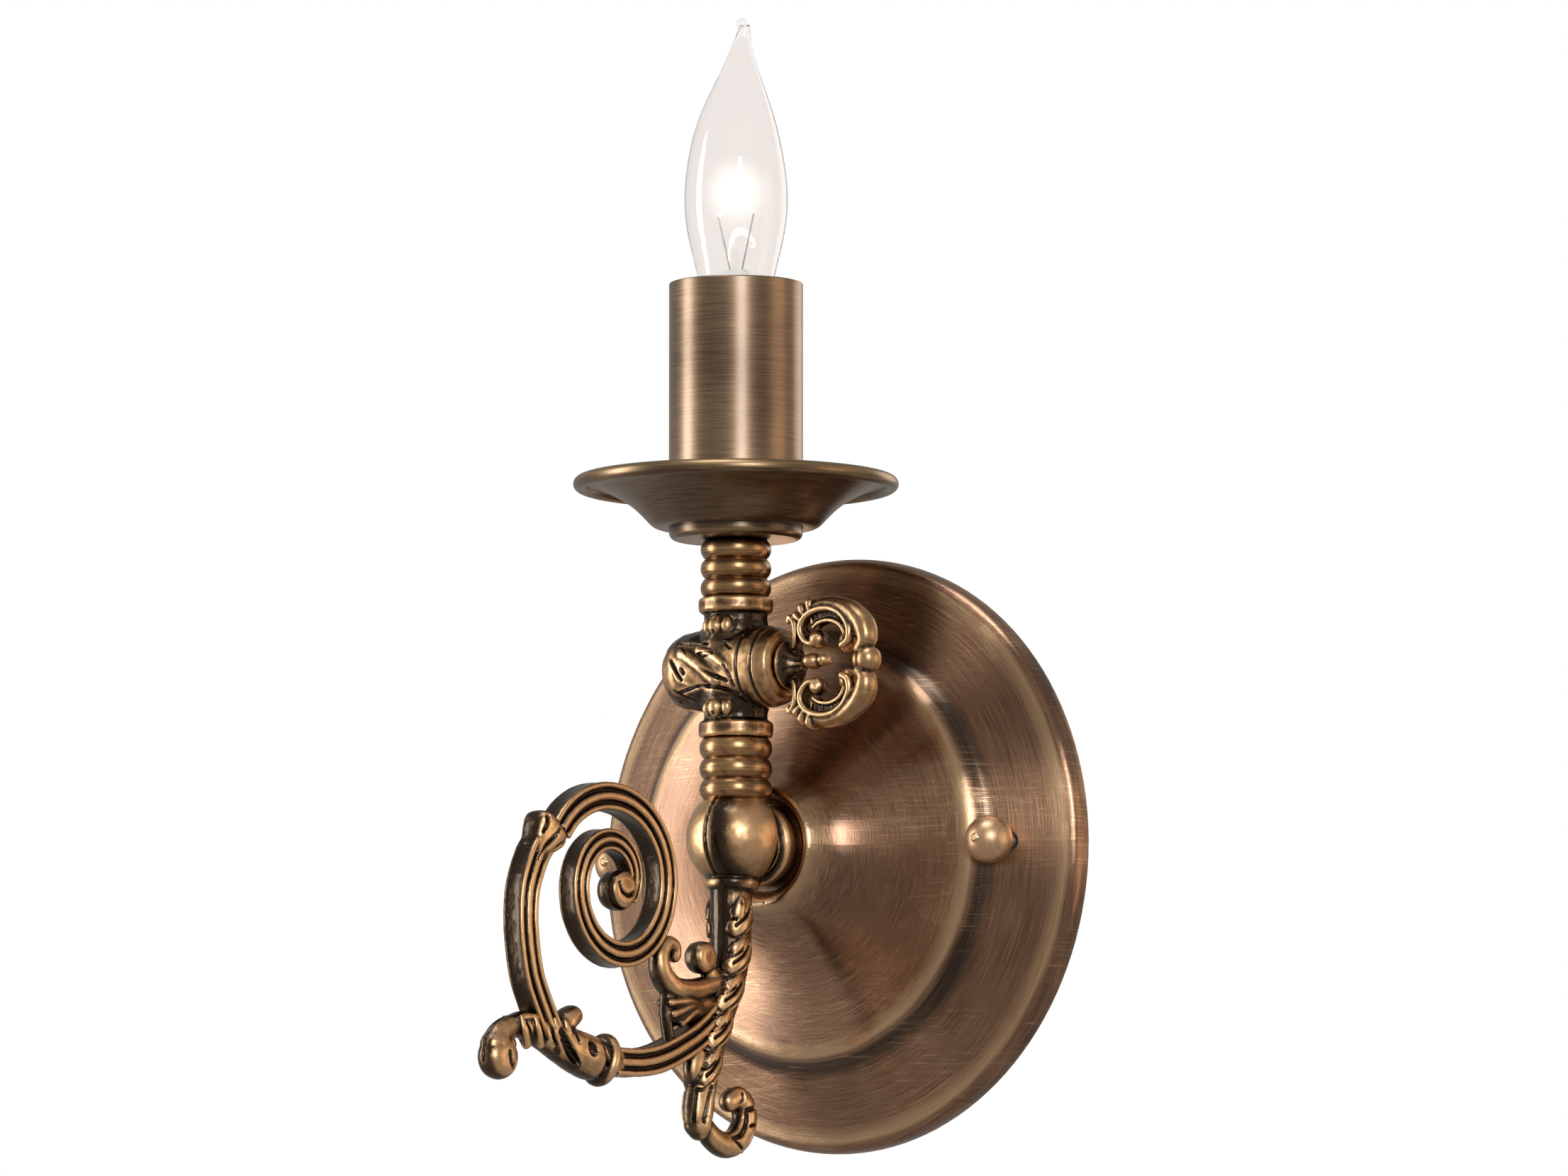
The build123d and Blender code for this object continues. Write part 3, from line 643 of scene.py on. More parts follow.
def bar_leaf(shells, side, flat, stations):
    """Leaf lying on the tail's bar, along (height, angle, lift, half width)."""
    spots = []
    for height, angle, lift, radius in smooth_path(stations, 6):
        turn = math.radians(angle)
        spots.append((Vector(on_bar(height, angle, lift, side)),
                      Vector((side * math.cos(turn), -math.sin(turn), 0)), radius))
    rings = []
    for i, (centre, normal, radius) in enumerate(spots):
        along = (spots[min(i + 1, len(spots) - 1)][0] - spots[max(i - 1, 0)][0]).normalized()
        across = along.cross(normal)
        up = normal * flat
        rings.append([centre + across * (radius * math.cos(turn)) + up * (radius * math.sin(turn))
                      for turn in turns(SIDES)])
    shells.grid(rings)


def tail_leaves(shells, side):
    """Folded leaves down one side of the bar, each with a slit and a small tongue above it."""
    cuts = []

    def cut(points, half_width, depth, lift=0.6):
        cuts.append(([on_bar(height, angle, lift, side) for height, angle in points], half_width, depth))

    for index in range(LEAVES):
        low = LEAF_FIRST - index * LEAF_PITCH
        size = 1 - 0.045 * index
        for stations, flat in ((LEAF, 0.36), (TONGUE, 0.5)):
            bar_leaf(shells, side, flat, [(low + rise, angle, lift, radius * size)
                                          for rise, angle, lift, radius in stations])
        for points, half_width, depth in LEAF_CUTS:
            cut([(low + rise, angle) for rise, angle in points], half_width, depth)
    bar_leaf(shells, side, 0.6, [
        (-12.6, 22, -0.3, 0.5), (-15.0, 26, 0.2, 1.4), (-17.6, 33, 0.2, 1.6), (-20.2, 45, -0.1, 0.9)])
    cut([(-14.2, 22), (-16.4, 30), (-18.6, 38)], 0.5, 1.0)
    cut([(-59.6, 4), (-61.6, 9), (-64.4, 15), (-67.0, 20)], 1.0, 1.3, 0.3)
    cut([(-59.6, 64), (-63.0, 64), (-66.6, 64), (-69.0, 64)], 0.5, 0.7, 0.2)
    return cuts


def arm_casting():
    """Ball with its neck, and the tail below it: a bar with stacked leaves and a curl at the back."""
    shells = Shells()
    front = [(-BALL_R * math.cos(math.radians(a)), BALL_R * math.sin(math.radians(a)))
             for a in range(2, 91, 4)]
    shells.turned((0, COLUMN, BALL_Z), "Y", front + [
        (0.9, 11.9), (1.9, 11.3), (2.8, 10.2), (3.6, 8.8), (4.6, 8.0), (8.0, 7.8)], sides=120)
    top = BALL_TOP - BALL_Z
    shells.turned((0, COLUMN, BALL_Z), "Z", ((-10.4, 6.4), (-6.0, 8.0), (6.0, 8.0), (top, 7.3)))
    shells.turned((0, COLUMN, 0), "Y", ((6.0, 8.2), (10.2, 8.4), (12.1, 8.6)))
    shells.ring((0, COLUMN + 9.6, 0.4), (0, 1, 0), 7.7, 2.2)
    shells.ring((0, COLUMN - 1.2, -9.5), (0, 0, 1), 5.0, 1.75)
    shells.turned((0, COLUMN - 1.2, -9.5), "Z", ((-2.2, 4.9), (2.2, 5.6)))
    shells.limb(BAR)
    engraving = []
    for side in (-1, 1):
        engraving += tail_leaves(shells, side)
    shells.turned((0, -58.1, -28.0), "X", (
        (-3.0, 2.0), (-2.6, 3.0), (-1.6, 3.7), (0.0, 3.95), (1.6, 3.7), (2.6, 3.0), (3.0, 2.0)))
    shells.mid_limb([(-51.0, -33.0, 2.0), (-55.0, -31.6, 2.2)], flat=0.9)
    shells.limb([(*on_bar(-57.6, angle, -0.35), 1.15) for angle in range(10, 171, 16)])
    shells.mid_limb([
        (-58.0, -48.6, 2.2), (-60.0, -52.4, 2.9), (-60.9, -55.8, 2.6), (-60.6, -58.2, 1.3)], flat=0.9)
    shells.mid_limb([
        (-57.6, -57.0, 3.6), (-58.8, -62.0, 4.1), (-59.2, -66.2, 3.9), (-58.8, -69.0, 2.8)], flat=0.92)
    shells.mid_limb([
        (-57.2, -68.0, 2.6), (-53.4, -71.0, 2.95), (-48.6, -72.3, 3.2), (-43.7, -70.4, 3.35),
        (-41.2, -66.2, 3.3), (-42.0, -62.4, 3.2), (-44.6, -60.9, 3.0), (-47.3, -61.9, 2.6)], flat=0.92)
    for y, z, dy, dz in ((-40.6, -60.6, 0.6, 0.8), (-38.6, -64.6, 1.0, 0.25), (-43.2, -72.8, 0.7, -0.6)):
        root = (y - 2.4 * dy, z - 2.4 * dz, 2.1)
        shells.mid_limb([root, (y, z, 1.4), (y + dy, z + dz, 0.7)], flat=1.1)
    engraving += both_sides((
        (((-40.4, -63.0), (-43.0, -63.8), (-46.4, -63.9)), 0.7),
        (((-39.0, -66.6), (-42.4, -67.6)), 0.5),
        (((-44.6, -73.6), (-47.4, -71.6), (-49.8, -69.6)), 0.6),
        (((-45.0, -58.6), (-44.8, -61.4), (-46.6, -63.2)), 0.6),
        (((-43.6, -64.6), (-43.6, -66.8), (-45.2, -69.4), (-48.4, -70.6)), 0.9)), 2.8, 1.1)
    seam = [(0, COLUMN - (BALL_R + 0.1) * math.cos(t), BALL_Z + (BALL_R + 0.1) * math.sin(t))
            for t in (math.radians(a) for a in range(-62, 64, 6))]
    engraving.append(([(0.25 * math.sin(3.1 * i), y, z) for i, (_, y, z) in enumerate(seam)], 0.5, 0.6))
    groove = [(8.3 * math.cos(t), COLUMN + 5.6, BALL_Z + 8.3 * math.sin(t)) for t in turns(40, 1)]
    engraving.append((groove, 0.75, 0.7))

    def patina(points, normals):
        """Ball polished all round, its seam smeared with black; below it only the sides."""
        x, y, z = points.T
        on_ball = eased(z, -12.4, -9.5)
        smear = np.exp(-((x - 3.0) / 3.2) ** 2) * (y < COLUMN - 3)
        neck = eased(y, COLUMN + 2.2, COLUMN + 4.0) * (1 - eased(y, COLUMN + 7.0, COLUMN + 8.6))
        # The ball is also darker on its neck and towards its bottom.
        ball = 0.30 - 0.60 * smear - 0.5 * neck - 0.22 * eased(-z, 2.5, 9.5)
        return on_ball * ball + (1 - on_ball) * side_polish(points, normals)

    cast("arm_casting", shells, "sconce", engraving, patina)


# ----- scroll
def scroll_arm():
    """Strip from the tail to the leaf foot."""
    shells = Shells()
    shells.strip([
        (-50.5, -38.6, 5.6), (-52.0, -40.5, 6.2), (-57.5, -44.8, 6.4), (-63.8, -48.4, 6.6),
        (-74.1, -52.6, STRIP), (-83.1, -54.4, STRIP), (-92.5, -54.6, STRIP)])
    cast("scroll_arm", shells, "sconce", voxel=FINE_VOXEL)


SPIRAL_CENTRE = (-92.5, -12.8)  # (y, z)
SPIRAL_R = 23.4
SPIRAL_START = math.radians(124.6)


def spiral_point(turn, width):
    """Point (y, z, width) of the spiral, turn radians on from its start.

    It winds in evenly, but near the calyx it lies up to 1.6 mm further in.
    """
    radius = SPIRAL_R - 1.89 * turn - 1.6 * math.exp(-((turn - 0.55) / 0.9) ** 2)
    angle = SPIRAL_START - turn
    y, z = SPIRAL_CENTRE
    return (y + radius * math.cos(angle), z + radius * math.sin(angle), width)


def scroll_spiral():
    """Strip that winds in to an eye."""
    shells = Shells()
    count = 56
    first, last = -0.45, 8.9  # turn at the calyx and at the eye, in radians
    shells.strip([spiral_point(first + (last - first) * i / count, STRIP - 2.7 * (i / count) ** 2)
                  for i in range(count + 1)], steps=4)
    eye = (0, -90.0, -14.0)
    shells.turned(eye, "X", ((-3.2, 3.0), (-2.7, 4.1), (-1.2, 4.8), (1.2, 4.8), (2.7, 4.1), (3.2, 3.0)))
    curl = ((-92.5, -12.4), (-91.9, -14.2), (-89.6, -15.3), (-87.0, -14.4), (-85.6, -12.2))
    engraving = both_sides([(curl, 0.6)], 3.1, 1.2)
    cast("scroll_spiral", shells, "sconce", engraving, voxel=FINE_VOXEL)


def scroll_stalk():
    """Strip rising from the foot to a flared calyx with horned corners and pointed sepals."""
    shells = Shells()
    shells.strip([
        (-114.5, -50.6, 6.4), (-116.0, -49.0, 6.6), (-120.3, -42.2, STRIP), (-123.3, -36.4, STRIP),
        (-125.0, -29.5, STRIP), (-125.7, -22.6, STRIP), (-125.0, -15.5, STRIP), (-122.1, -8.6, STRIP),
        (-119.4, -5.0, STRIP)])
    centre = Vector((0, -116.8, -1.5))
    way = Vector((0, 0.66, 0.75)).normalized()
    across = way.cross(Vector((1, 0, 0)))

    def spot(place, width, depth):
        """Point of the calyx: place along it, width across it, depth along X."""
        return centre + way * place + across * width + Vector((depth, 0, 0))

    rings = []
    for place, half_width, half_depth in (
            (-8.4, 2.0, 1.6), (-7.2, 2.9, 2.6), (-5.6, 3.4, 3.1), (-4.0, 4.1, 3.6), (-2.4, 4.9, 3.9),
            (-0.8, 5.5, 4.2), (0.5, 5.6, 4.25), (1.5, 5.1, 3.9), (2.1, 3.9, 3.0)):
        ring = []
        for turn in turns(48):
            c, d = math.cos(turn), math.sin(turn)
            swell = (abs(c) ** 3 + abs(d) ** 3) ** (-1 / 3)  # makes it a rounded rectangle
            ring.append(spot(place, half_width * c * swell, half_depth * d * swell))
        rings.append(ring)
    shells.grid(rings)
    engraving = []
    for side in (-1, 1):
        for line, half, deep in (
                (((1.0, -0.2), (-1.5, -0.4), (-5.0, -0.1), (-9.5, 0.0)), 0.75, 1.3),
                (((0.2, 4.4), (-1.6, 3.2), (-3.6, 2.9)), 0.7, 1.2),
                (((0.4, -4.2), (-3.0, -3.1), (-8.0, -2.6)), 0.6, 0.9)):
            engraving.append(([spot(place, -width, 3.6 * side) for place, width in line], half, deep))
    for depth in (-1.7, 1.7):
        edge = [spot(place, width, depth) for place, width in ((0.6, 4.9), (-2.4, 3.8), (-8.0, 3.2))]
        engraving.append((edge, 0.7, 0.9))
    cast("scroll_stalk", shells, "sconce", engraving, voxel=FINE_VOXEL)


def leaf_foot():
    """Leaf wrapped round the arm's end: a collar at one end, the curled foot at the other."""
    shells = Shells()
    shells.mid_limb([
        (-97.0, -54.6, 4.4), (-100.0, -54.2, 5.3), (-104.5, -53.2, 5.3), (-110.5, -51.5, 4.8),
        (-117.0, -49.5, 4.1), (-123.5, -48.2, 3.2), (-129.0, -48.2, 2.8), (-133.2, -50.2, 3.2),
        (-134.8, -53.2, 4.2)], flat=0.84)
    roll = [math.radians(angle) for angle in range(-80, 81, 10)]
    shells.turned((0, -134.0, -55.6), "X", [(3.8 * math.sin(t), 5.3 * math.cos(t) ** 0.7) for t in roll])
    shells.mid_limb([(-92.0, -54.4, 3.9), (-98.0, -54.4, 4.4)], flat=0.85)
    shells.ring((0, -95.7, -54.4), (0, 0.97, -0.24), 4.9, 1.65, flat=(0.80, 1.0))
    shells.mid_limb([(-111.0, -49.0, 2.6), (-109.4, -46.0, 2.8), (-107.2, -44.6, 2.6)], flat=1.2)
    shells.mid_limb([(-129.6, -47.0, 1.1), (-126.0, -45.9, 1.4), (-120.5, -46.0, 1.3)], flat=2.0)
    tips = ((-128.6, -46.0, 0.5), (-123.6, -45.7, 0.6), (-116.2, -46.0, 0.5), (-112.2, -46.6, 0.7))
    windows = (  # (((y, z), ...), half width, distance from x = 0)
        (((-126.9, -47.8), (-124.8, -51.0)), 1.15, 2.9),
        (((-121.9, -47.2), (-119.9, -51.0)), 1.15, 3.2),
        (((-114.6, -49.2), (-111.8, -53.0), (-108.6, -56.6)), 1.5, 3.9),
        (((-104.0, -51.9), (-103.7, -52.5)), 1.7, 4.3),
        (((-118.4, -46.6), (-117.2, -50.4), (-114.4, -54.8)), 0.75, 3.7),
        (((-110.2, -47.8), (-108.6, -50.8)), 0.6, 4.1),
        (((-99.4, -49.4), (-98.4, -54.4), (-99.4, -58.6)), 0.8, 4.1),
    )
    for side in (-1, 1):
        for y, z, radius in tips:
            shells.limb([
                (side * 2.2, y + 2.6, z - 6.2, 1.2), (side * 2.8, y + 0.9, z - 2.8, 1.2),
                (side * 2.6, y, z, radius)], flat=0.8, steps=5)
    curl = ((-133.8, -54.6), (-133.2, -57.0), (-131.2, -57.8), (-129.8, -56.2))
    engraving = both_sides([(curl, 0.8)], 3.3, 1.3)
    for line, half, out in windows:
        engraving += both_sides([(line, half)], out, 2.0)
    engraving.append(([(0, -131.6, -46.0), (0, -136.4, -49.0), (0, -139.2, -53.0), (0, -139.4, -56.8)],
                      0.5, 0.6))

    def patina(points, normals):
        """Sides polished, with the black left in the windows between the leaf's tips."""
        relief = side_polish(points, normals)
        for line, half, out in windows:
            for side in (-1, 1):
                gap = distance_to(points, [(side * (out - 0.8), y, z) for y, z in line])
                relief -= 0.5 * (1 - eased(gap, 0.85 * half, 1.4 * half))
        return relief

    cast("leaf_foot", shells, "sconce", engraving, patina)


def scroll_branch():
    """Curl that springs from the tail, with a shell and a fan of buds under it."""
    shells = Shells()
    shells.mid_limb([
        (-52.5, -33.6, 2.2), (-58.0, -35.2, 2.6), (-63.5, -36.2, 2.9), (-69.2, -35.8, 3.0),
        (-73.3, -32.7, 2.7), (-74.0, -28.7, 2.3), (-71.6, -25.6, 2.0), (-68.8, -26.0, 1.9),
        (-68.4, -28.2, 1.7)], flat=1.1)
    shells.mid_limb([
        (-54.5, -39.0, 2.4), (-60.0, -40.4, 3.0), (-66.0, -41.6, 3.2), (-70.4, -42.4, 2.4)], flat=0.8)
    shells.mid_limb([(-71.0, -38.0, 1.6), (-71.6, -42.0, 1.3), (-70.2, -48.4, 1.4)], flat=1.2)
    fan = (((-71.6, -39.6), 1.0), ((-70.6, -42.2), 1.2), ((-67.4, -44.2), 1.1))
    for side in (-1, 1):
        for (y, z), radius in fan:
            shells.limb([(side * 1.6, -59.6, -39.4 + 0.3 * (z + 38.9), 0.7),
                         (side * 2.2, (y - 59.6) / 2, (z - 39.4) / 2 + 0.5, radius),
                         (side * 1.5, y, z, radius)], steps=5)

    def patina(points, normals):
        """The shell under the curl is darker than the curl, and darker still further down."""
        shell = eased(-points[:, 2], 38.2, 40.0)
        return side_polish(points, normals) - 0.24 * shell - 0.3 * eased(-points[:, 2], 43.0, 45.0)

    cast("scroll_branch", shells, "sconce", patina=patina)


# ----- gas cock and key
def on_barrel(x, angle, lift=0.0):
    """Point on the barrel: angle 0 faces away from the wall, 90 faces up."""
    turn = math.radians(angle)
    inset = max(0.0, -8.0 - x) / 11.4
    radius = BARREL_R * math.sqrt(max(0.05, 1 - inset ** 2)) + lift
    return (x, COLUMN - radius * math.cos(turn), BARREL_Z + radius * math.sin(turn))


def cock_body():
    """Two collars, a waist with buds, and a horizontal barrel chased with leaves."""
    shells = Shells()
    centre = (0, COLUMN, 0)
    for end, height, way in (LOWER_COLLAR, UPPER_COLLAR):
        shells.turned(centre, "Z", sorted((end + way * rise, radius) for rise, radius in (
            (0.02, 8.3), (0.3, COLLAR_R - 0.15), (0.8, COLLAR_R), (height - 0.9, COLLAR_R),
            (height - 0.3, COLLAR_R - 0.4), (height, 8.0))))
    shells.turned(centre, "Z", (
        (29.0, 7.7), (31.0, 7.6), (33.5, 8.2), (36.5, 9.0), (42.2, 9.4), (48.0, 9.0), (51.0, 8.2),
        (53.8, 7.6), (56.0, 7.7)))
    shells.turned((0, COLUMN, BARREL_Z), "X", (
        (-19.2, 0.5), (-19.0, 2.6), (-18.4, 4.9), (-17.3, 6.9), (-15.6, 8.5), (-13.0, 9.5),
        (-9.0, BARREL_R), (-4.0, BARREL_R - 0.1), (7.4, BARREL_R), (10.6, BARREL_R), (12.6, 9.5),
        (13.9, 9.0), (15.0, 8.4), (15.78, 7.2)))
    engraving = []
    for rise in (52.1, 32.5):
        for x, size in ((-2.8, 1.5), (0.0, 2.0), (2.8, 1.5)):
            back = 0.26 * abs(x)
            shells.limb([
                (x, COLUMN - 7.3 + back, rise + 1.2, 0.8 * size),
                (x, COLUMN - 7.8 + back, rise - 0.1, size),
                (0.93 * x, COLUMN - 7.4 + back, rise - 1.5, 0.75 * size)], steps=4)
        for x in (-1.7, 0.3, 1.8):
            slit = [(x, COLUMN - 9.3, rise + 0.2), (0.8 * x, COLUMN - 9.1, rise - 2.4)]
            engraving.append((slit, 0.34, 0.8))
    for x in (7.7, 11.7):
        engraving.append(([on_barrel(x, angle) for angle in range(0, 361, 12)], 0.42, 0.55))
    for x0, angle0, x1, angle1, radius in (
            (-15.5, 20, -10.0, -16, 1.5), (-9.5, 22, 0.5, -20, 1.9), (-4.5, 26, 5.0, -4, 1.5),
            (-13.0, -18, -5.0, -30, 1.2)):
        lobe = ((x0, angle0), ((x0 + x1) / 2, (angle0 + angle1) / 2 + 4), (x1, angle1))
        for face, turn in ((0, 1), (180, -1)):
            shells.limb([(*on_barrel(x, face + turn * angle, -1.0), radius)
                         for x, angle in lobe], steps=4)
    cuts = (  # (((x, angle), ...), half width)
        (((-9.5, 30), (-6.5, 14), (-1.5, -6), (4.2, -22)), 0.60),
        (((-14.4, 30), (-12.0, 8), (-9.2, -16)), 0.5),
        (((-18.2, 36), (-17.4, 10), (-16.4, -16)), 0.45),
        (((4.2, 0), (5.2, -12), (6.0, -30)), 0.5),
        (((-4.6, 18), (-2.0, 21), (0.8, 18), (-2.0, 15), (-4.6, 18)), 0.3),
        (((-9.0, -2), (-8.4, -7)), 0.6),
        (((3.4, 32), (5.4, 24)), 0.4),
        (((-11.0, -36), (-4.0, -27), (2.0, -31), (6.6, -44)), 0.5),
        (((-12.0, 42), (-3.0, 33), (4.0, 38), (7.0, 48)), 0.45),
        (((-19.4, -6), (-17.0, -36), (-12.0, -54)), 0.45),
        (((-14.0, -22), (-11.0, -38), (-7.0, -50)), 0.4),
    )
    for line, half in cuts:
        front = [on_barrel(x, angle, 0.2) for x, angle in line]
        back = [on_barrel(x, 180 - angle, 0.2) for x, angle in line]
        for points in (front, back):
            engraving.append((smooth_path(points, 4), half, 0.8))

    def patina(points, normals):
        """Necks and the barrel's top and bottom stay dark; the leaf and the rings are polished."""
        x, y, z = points.T
        height = np.abs(z - BARREL_Z)
        reach = np.abs(y - COLUMN)
        drop = (np.abs(x) < 4.6) & (reach > 7.2) & (np.abs(height - 9.9) < 2.7)
        neck = (height < 13.3) & (height > 6.0) & ~drop & (np.abs(x) < 9.4)
        ringed = x > 7.0
        barrel = 0.12 - 0.34 * eased(height, 3.8, 7.4) * (1 - 0.6 * ringed)
        value = np.where(drop, 0.10, np.where(neck, -0.20, barrel))
        return np.where(height > 13.3, -0.04, value)

    cast("cock_body", shells, "sconce", engraving, patina, voxel=0.25, rough=0.10)


def gas_key():
    """Wing of two C scrolls, mirrored about the key's axis, with a stem, beads and a finial."""
    shells = Shells()
    engraving = []
    deep = (0, 1, 0)

    def at(points, side):
        return [(x, COLUMN, BARREL_Z + side * h, r) for x, h, r in points]

    def both_faces(points, side, lift, steps=6):
        for face in (-1, 1):
            shells.limb([(x, COLUMN + face * lift, BARREL_Z + side * h, r) for x, h, r in points],
                        side=deep, steps=steps)

    for side in (-1, 1):
        shells.limb(at([
            (24.6, 5.6, 1.4), (21.4, 7.2, 1.3), (20.6, 9.9, 1.6), (22.6, 12.3, 1.9), (26.6, 13.6, 2.0),
            (31.0, 13.4, 2.15), (35.2, 11.8, 2.4), (38.6, 8.6, 2.7), (39.6, 5.0, 2.5),
            (37.9, 2.8, 1.8)], side), flat=1.15, side=deep)
        both_faces([
            (26.0, 6.4, 0.5), (24.6, 4.6, 0.7), (22.2, 5.6, 0.75), (21.0, 8.4, 0.75),
            (22.6, 11.2, 0.75), (26.4, 12.7, 0.75), (30.4, 12.6, 0.75), (33.8, 10.8, 0.8),
            (35.7, 7.6, 0.8), (35.4, 4.8, 0.8), (33.6, 3.6, 0.75)], side, 2.05)
        both_faces([
            (24.4, 8.4, 0.4), (26.4, 9.6, 0.5), (29.6, 9.9, 0.5), (32.4, 8.7, 0.5),
            (33.8, 6.4, 0.4)], side, 1.3)
        shells.limb(at([(23.4, 9.0, 0.9), (26.8, 11.2, 1.4), (30.8, 11.2, 1.4), (34.2, 8.6, 1.0)], side),
                    flat=0.72, side=deep)
        shells.ball((25.1, COLUMN, BARREL_Z + side * 5.6), 2.35, (1.0, 1.1, 1.0))
        shells.ball((34.0, COLUMN, BARREL_Z + side * 4.5), 2.1, (0.95, 1.15, 1.2))
        shells.limb(at([
            (17.5, 2.4, 0.9), (18.7, 4.8, 0.9), (19.0, 7.6, 0.95), (18.5, 10.0, 1.0),
            (17.9, 11.0, 1.1)], side), flat=1.5, side=deep)
        both_faces([
            (17.4, 2.6, 0.5), (18.7, 5.0, 0.6), (19.0, 7.8, 0.62), (18.5, 10.3, 0.7),
            (17.4, 11.3, 0.75), (17.0, 10.3, 0.65)], side, 1.35)
        for x, h, lean, size in (
                (19.6, 11.6, 2.45, 0.95), (21.3, 13.3, 2.1, 1.1), (23.6, 14.3, 1.8, 1.1)):
            stations = ((-2.4, 2.0, 0.5), (0.0, 1.7, size), (0.8, 0.5, 0.8))
            for face in (-1, 1):
                shells.limb([(x + go * math.cos(lean), COLUMN + face * depth,
                              BARREL_Z + side * (h + go * math.sin(lean)), radius)
                             for go, depth, radius in stations], steps=4)
        hatches = 10
        for i in range(hatches):
            x = 23.8 + i * 1.15
            h = 10.3 + 1.1 * math.sin(math.pi * i / (hatches - 1))
            both_faces([(x, h - 0.9, 0.24), (x - 0.15, h + 1.0, 0.24)], side, 1.12, steps=2)
    shells.turned((KEY_LEFT, COLUMN, BARREL_Z), "X", (
        (0.1, 6.0), (0.5, 6.1), (1.1, 5.2), (2.0, 3.7), (3.2, 2.5), (4.8, 1.7), (6.4, 1.2)))
    shells.limb([
        (19.5, COLUMN, BARREL_Z, 1.4), (22.4, COLUMN, BARREL_Z + 0.2, 1.0),
        (27.2, COLUMN, BARREL_Z + 0.3, 1.0)], side=deep, flat=1.4)
    shells.ball((23.4, COLUMN, BARREL_Z + 0.5), 2.1, (1.3, 1.35, 0.95))
    shells.ball((27.0, COLUMN, BARREL_Z + 0.6), 1.5, (1.1, 1.5, 0.95))
    flutes = 8
    for turn in turns(flutes):
        turn += math.pi / flutes
        flute = [(KEY_LEFT + back, COLUMN + r * math.cos(turn), BARREL_Z + r * math.sin(turn))
                 for back, r in ((1.6, 4.5), (2.8, 3.0), (4.4, 1.9))]
        engraving.append((flute, 0.42, 0.45))
    shells.ball((KEY_RIGHT - 3.7, COLUMN, BARREL_Z), 3.2, (0.95, 1.05, 1.0))
    shells.ring((KEY_RIGHT - 6.2, COLUMN, BARREL_Z), (1, 0, 0), 1.5, 1.0)
    shells.turned((0, COLUMN, BARREL_Z), "X", (
        (7.2, 2.99), (9.4, 2.99), (9.45, 2.2), (12.55, 2.2), (12.6, 2.99), (KEY_LEFT + 0.8, 2.99)))

    def patina(points, normals):
        """The recess inside each scroll stays dark."""
        x, y, z = points.T
        height = np.abs(z - BARREL_Z)
        recess = (np.hypot(x - 28.6, height - 8.2) < 4.7) & (np.abs(y - COLUMN) < 1.6)
        neck = x < KEY_LEFT + 4.5
        return np.where(recess, -0.3, np.where(neck & (height < 6.4), -0.18, 0.04))

    cast("gas_key", shells, "key", engraving, patina, voxel=FINE_VOXEL)


# ----- bulb tip
def bulb_tip():
    """Bead where the glass was sealed and bent over."""
    shells = Shells()
    shells.ball((1.7, COLUMN, box_mm("bulb_glass")[1].z + 0.4), 1.3)
    mesh = bpy.data.meshes.new("bulb_tip_bead")
    mesh.from_pydata([tuple(c * MM for c in p) for p in shells.points], [], shells.faces)
    mesh.polygons.foreach_set("use_smooth", [True] * len(mesh.polygons))
    mesh.materials.append(MATERIALS["glass"])
    piece = put("bulb_tip_bead", mesh)
    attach(piece, "bulb")


# ----- studio
def direction(azimuth, elevation):
    """Unit vector from the object: azimuth 0 is in front of it, 90 is on its +X side."""
    a, e = math.radians(azimuth), math.radians(elevation)
    return Vector((math.sin(a) * math.cos(e), -math.cos(a) * math.cos(e), math.sin(e)))


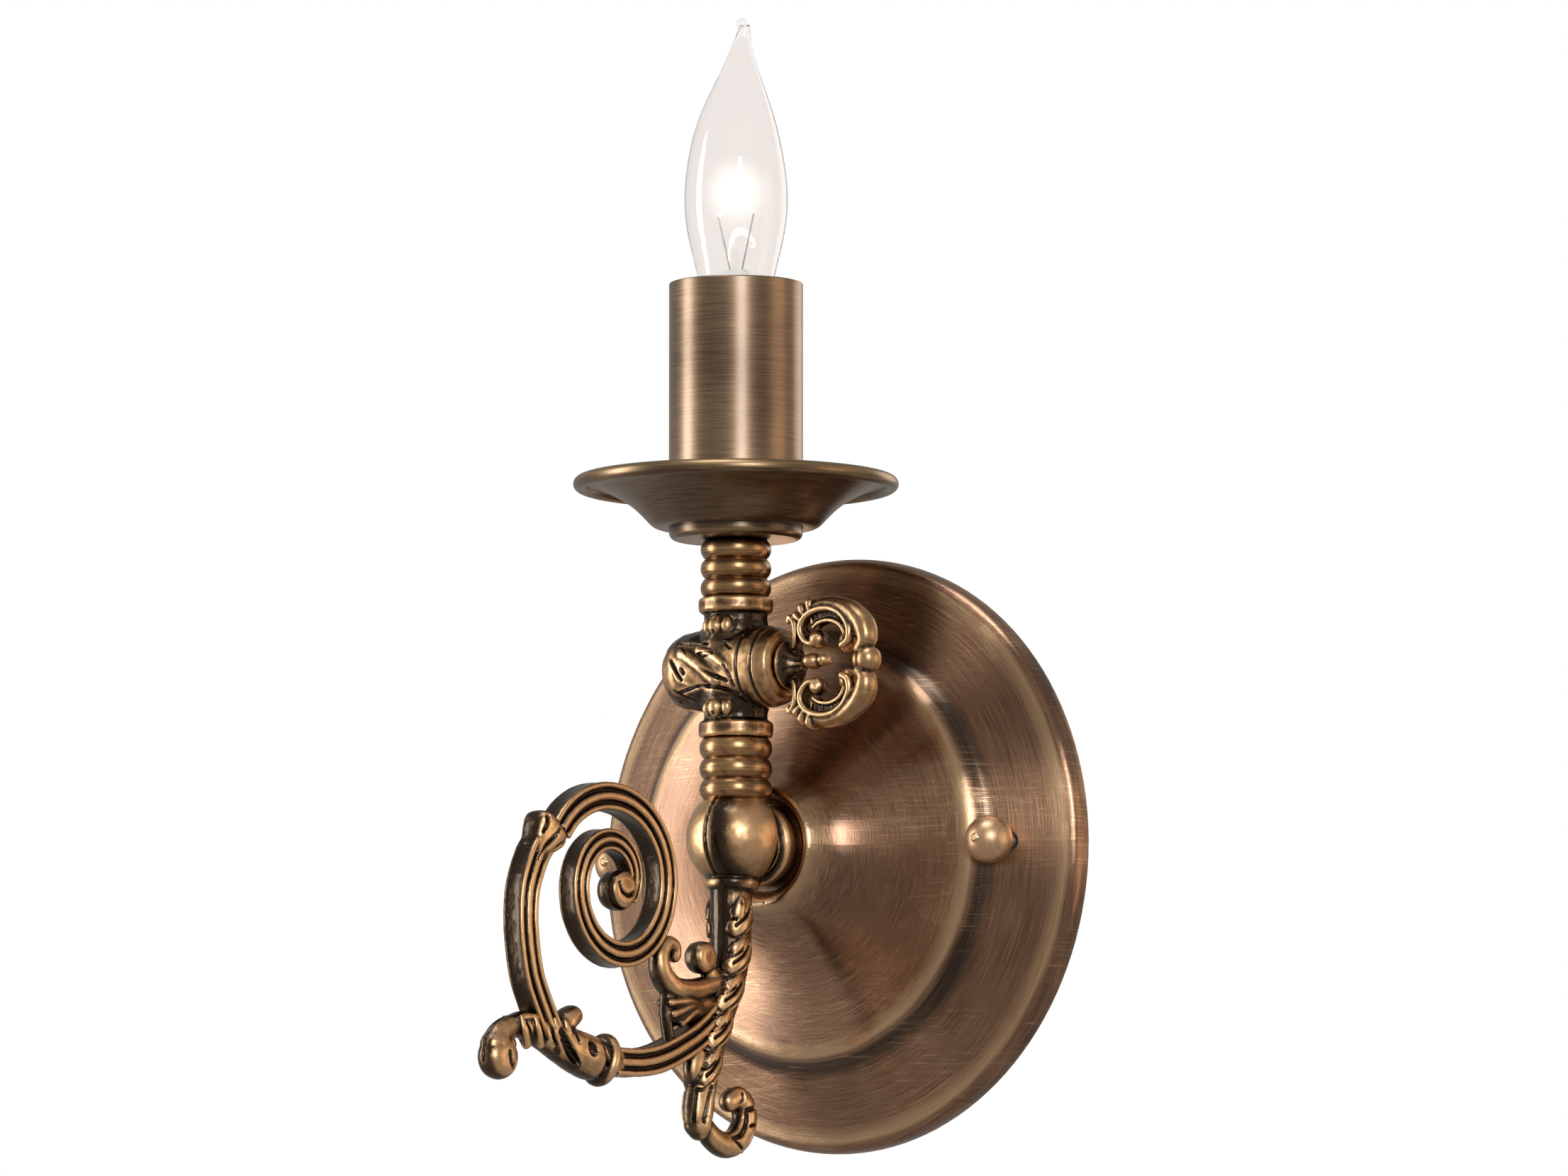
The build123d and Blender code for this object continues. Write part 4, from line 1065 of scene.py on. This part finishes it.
def studio():
    """White to the camera and through glass, dim to the metal; the filament's glow; soft boxes."""
    world = bpy.data.worlds.new("studio")
    scene.world = world
    world.use_nodes = True
    tree = world.node_tree
    nodes = tree.nodes
    back = nodes["Background"]
    back.inputs["Color"].default_value = (0.54, 0.50, 0.46, 1)
    back.inputs["Strength"].default_value = 0.58
    white = nodes.new("ShaderNodeBackground")
    white.inputs["Color"].default_value = (1, 1, 1, 1)
    path = nodes.new("ShaderNodeLightPath")
    either = nodes.new("ShaderNodeMath")
    either.operation = "MAXIMUM"
    mix = nodes.new("ShaderNodeMixShader")
    link = tree.links.new
    link(path.outputs["Is Camera Ray"], either.inputs[0])
    link(path.outputs["Is Transmission Ray"], either.inputs[1])
    link(either.outputs[0], mix.inputs["Fac"])
    link(back.outputs[0], mix.inputs[1])
    link(white.outputs[0], mix.inputs[2])
    link(mix.outputs[0], nodes["World Output"].inputs["Surface"])

    glow = (middle("bulb_filament") + Vector((0, 0, 4.2))) * MM
    balls = 14  # nested balls of light, fainter as they grow
    for index in range(balls):
        data = bpy.data.lights.new("glow", "POINT")
        data.shadow_soft_size = (1.6 + 0.8 * index) * MM
        radiance = 0.016 + 0.55 * (1 - index / balls) ** 2
        data.energy = radiance * 4 * math.pi ** 2 * data.shadow_soft_size ** 2
        data.color = (1.0, 0.95, 0.88)
        put("glow", data).location = glow

    aim = (cad_box[0] + cad_box[1]) / 2
    distance = 4.5  # from the object to each soft box, in metres

    def light(name, azimuth, elevation, width, height, power, colour=(1, 1, 1)):
        """Soft box that faces the object, width and height in metres, power in watts."""
        data = bpy.data.lights.new(name, "AREA")
        data.shape = "ELLIPSE"
        data.size, data.size_y = width, height
        data.energy = power
        data.color = colour
        lamp = put(name, data)
        way = direction(azimuth, elevation)
        lamp.location = aim + way * distance
        lamp.rotation_euler = way.to_track_quat("Z", "Y").to_euler()
        lamp.visible_camera = False
        lamp.visible_transmission = False

    light("right_box", 48, 14, 1.3, 2.2, 66)
    light("left_box", -54, 4, 1.5, 4.4, 92, (1.0, 0.98, 0.94))
    light("back_box", 175, 8, 2.6, 3.0, 24, (1.0, 0.84, 0.66))
    light("warm_side", 116, 2, 2.6, 3.0, 22, (1.0, 0.70, 0.44))
    light("top_box", 10, 72, 2.0, 2.0, 52)

    scene.view_settings.view_transform = "Standard"


def camera():
    """Long lens, 2.5 m away, a little below the sconce and to its right."""
    data = bpy.data.cameras.new("camera")
    data.lens = 239.3
    data.sensor_width = 36
    data.clip_end = 50
    eye = put("camera", data)
    way = direction(37.9, -6.3)
    eye.location = Vector((0.01318, -0.04260, 0.06115)) + way * 2.5
    eye.rotation_euler = way.to_track_quat("Z", "Y").to_euler()
    scene.camera = eye


camera()
studio()
arm_casting()
scroll_arm()
scroll_spiral()
scroll_stalk()
leaf_foot()
scroll_branch()
cock_body()
gas_key()
bulb_tip()
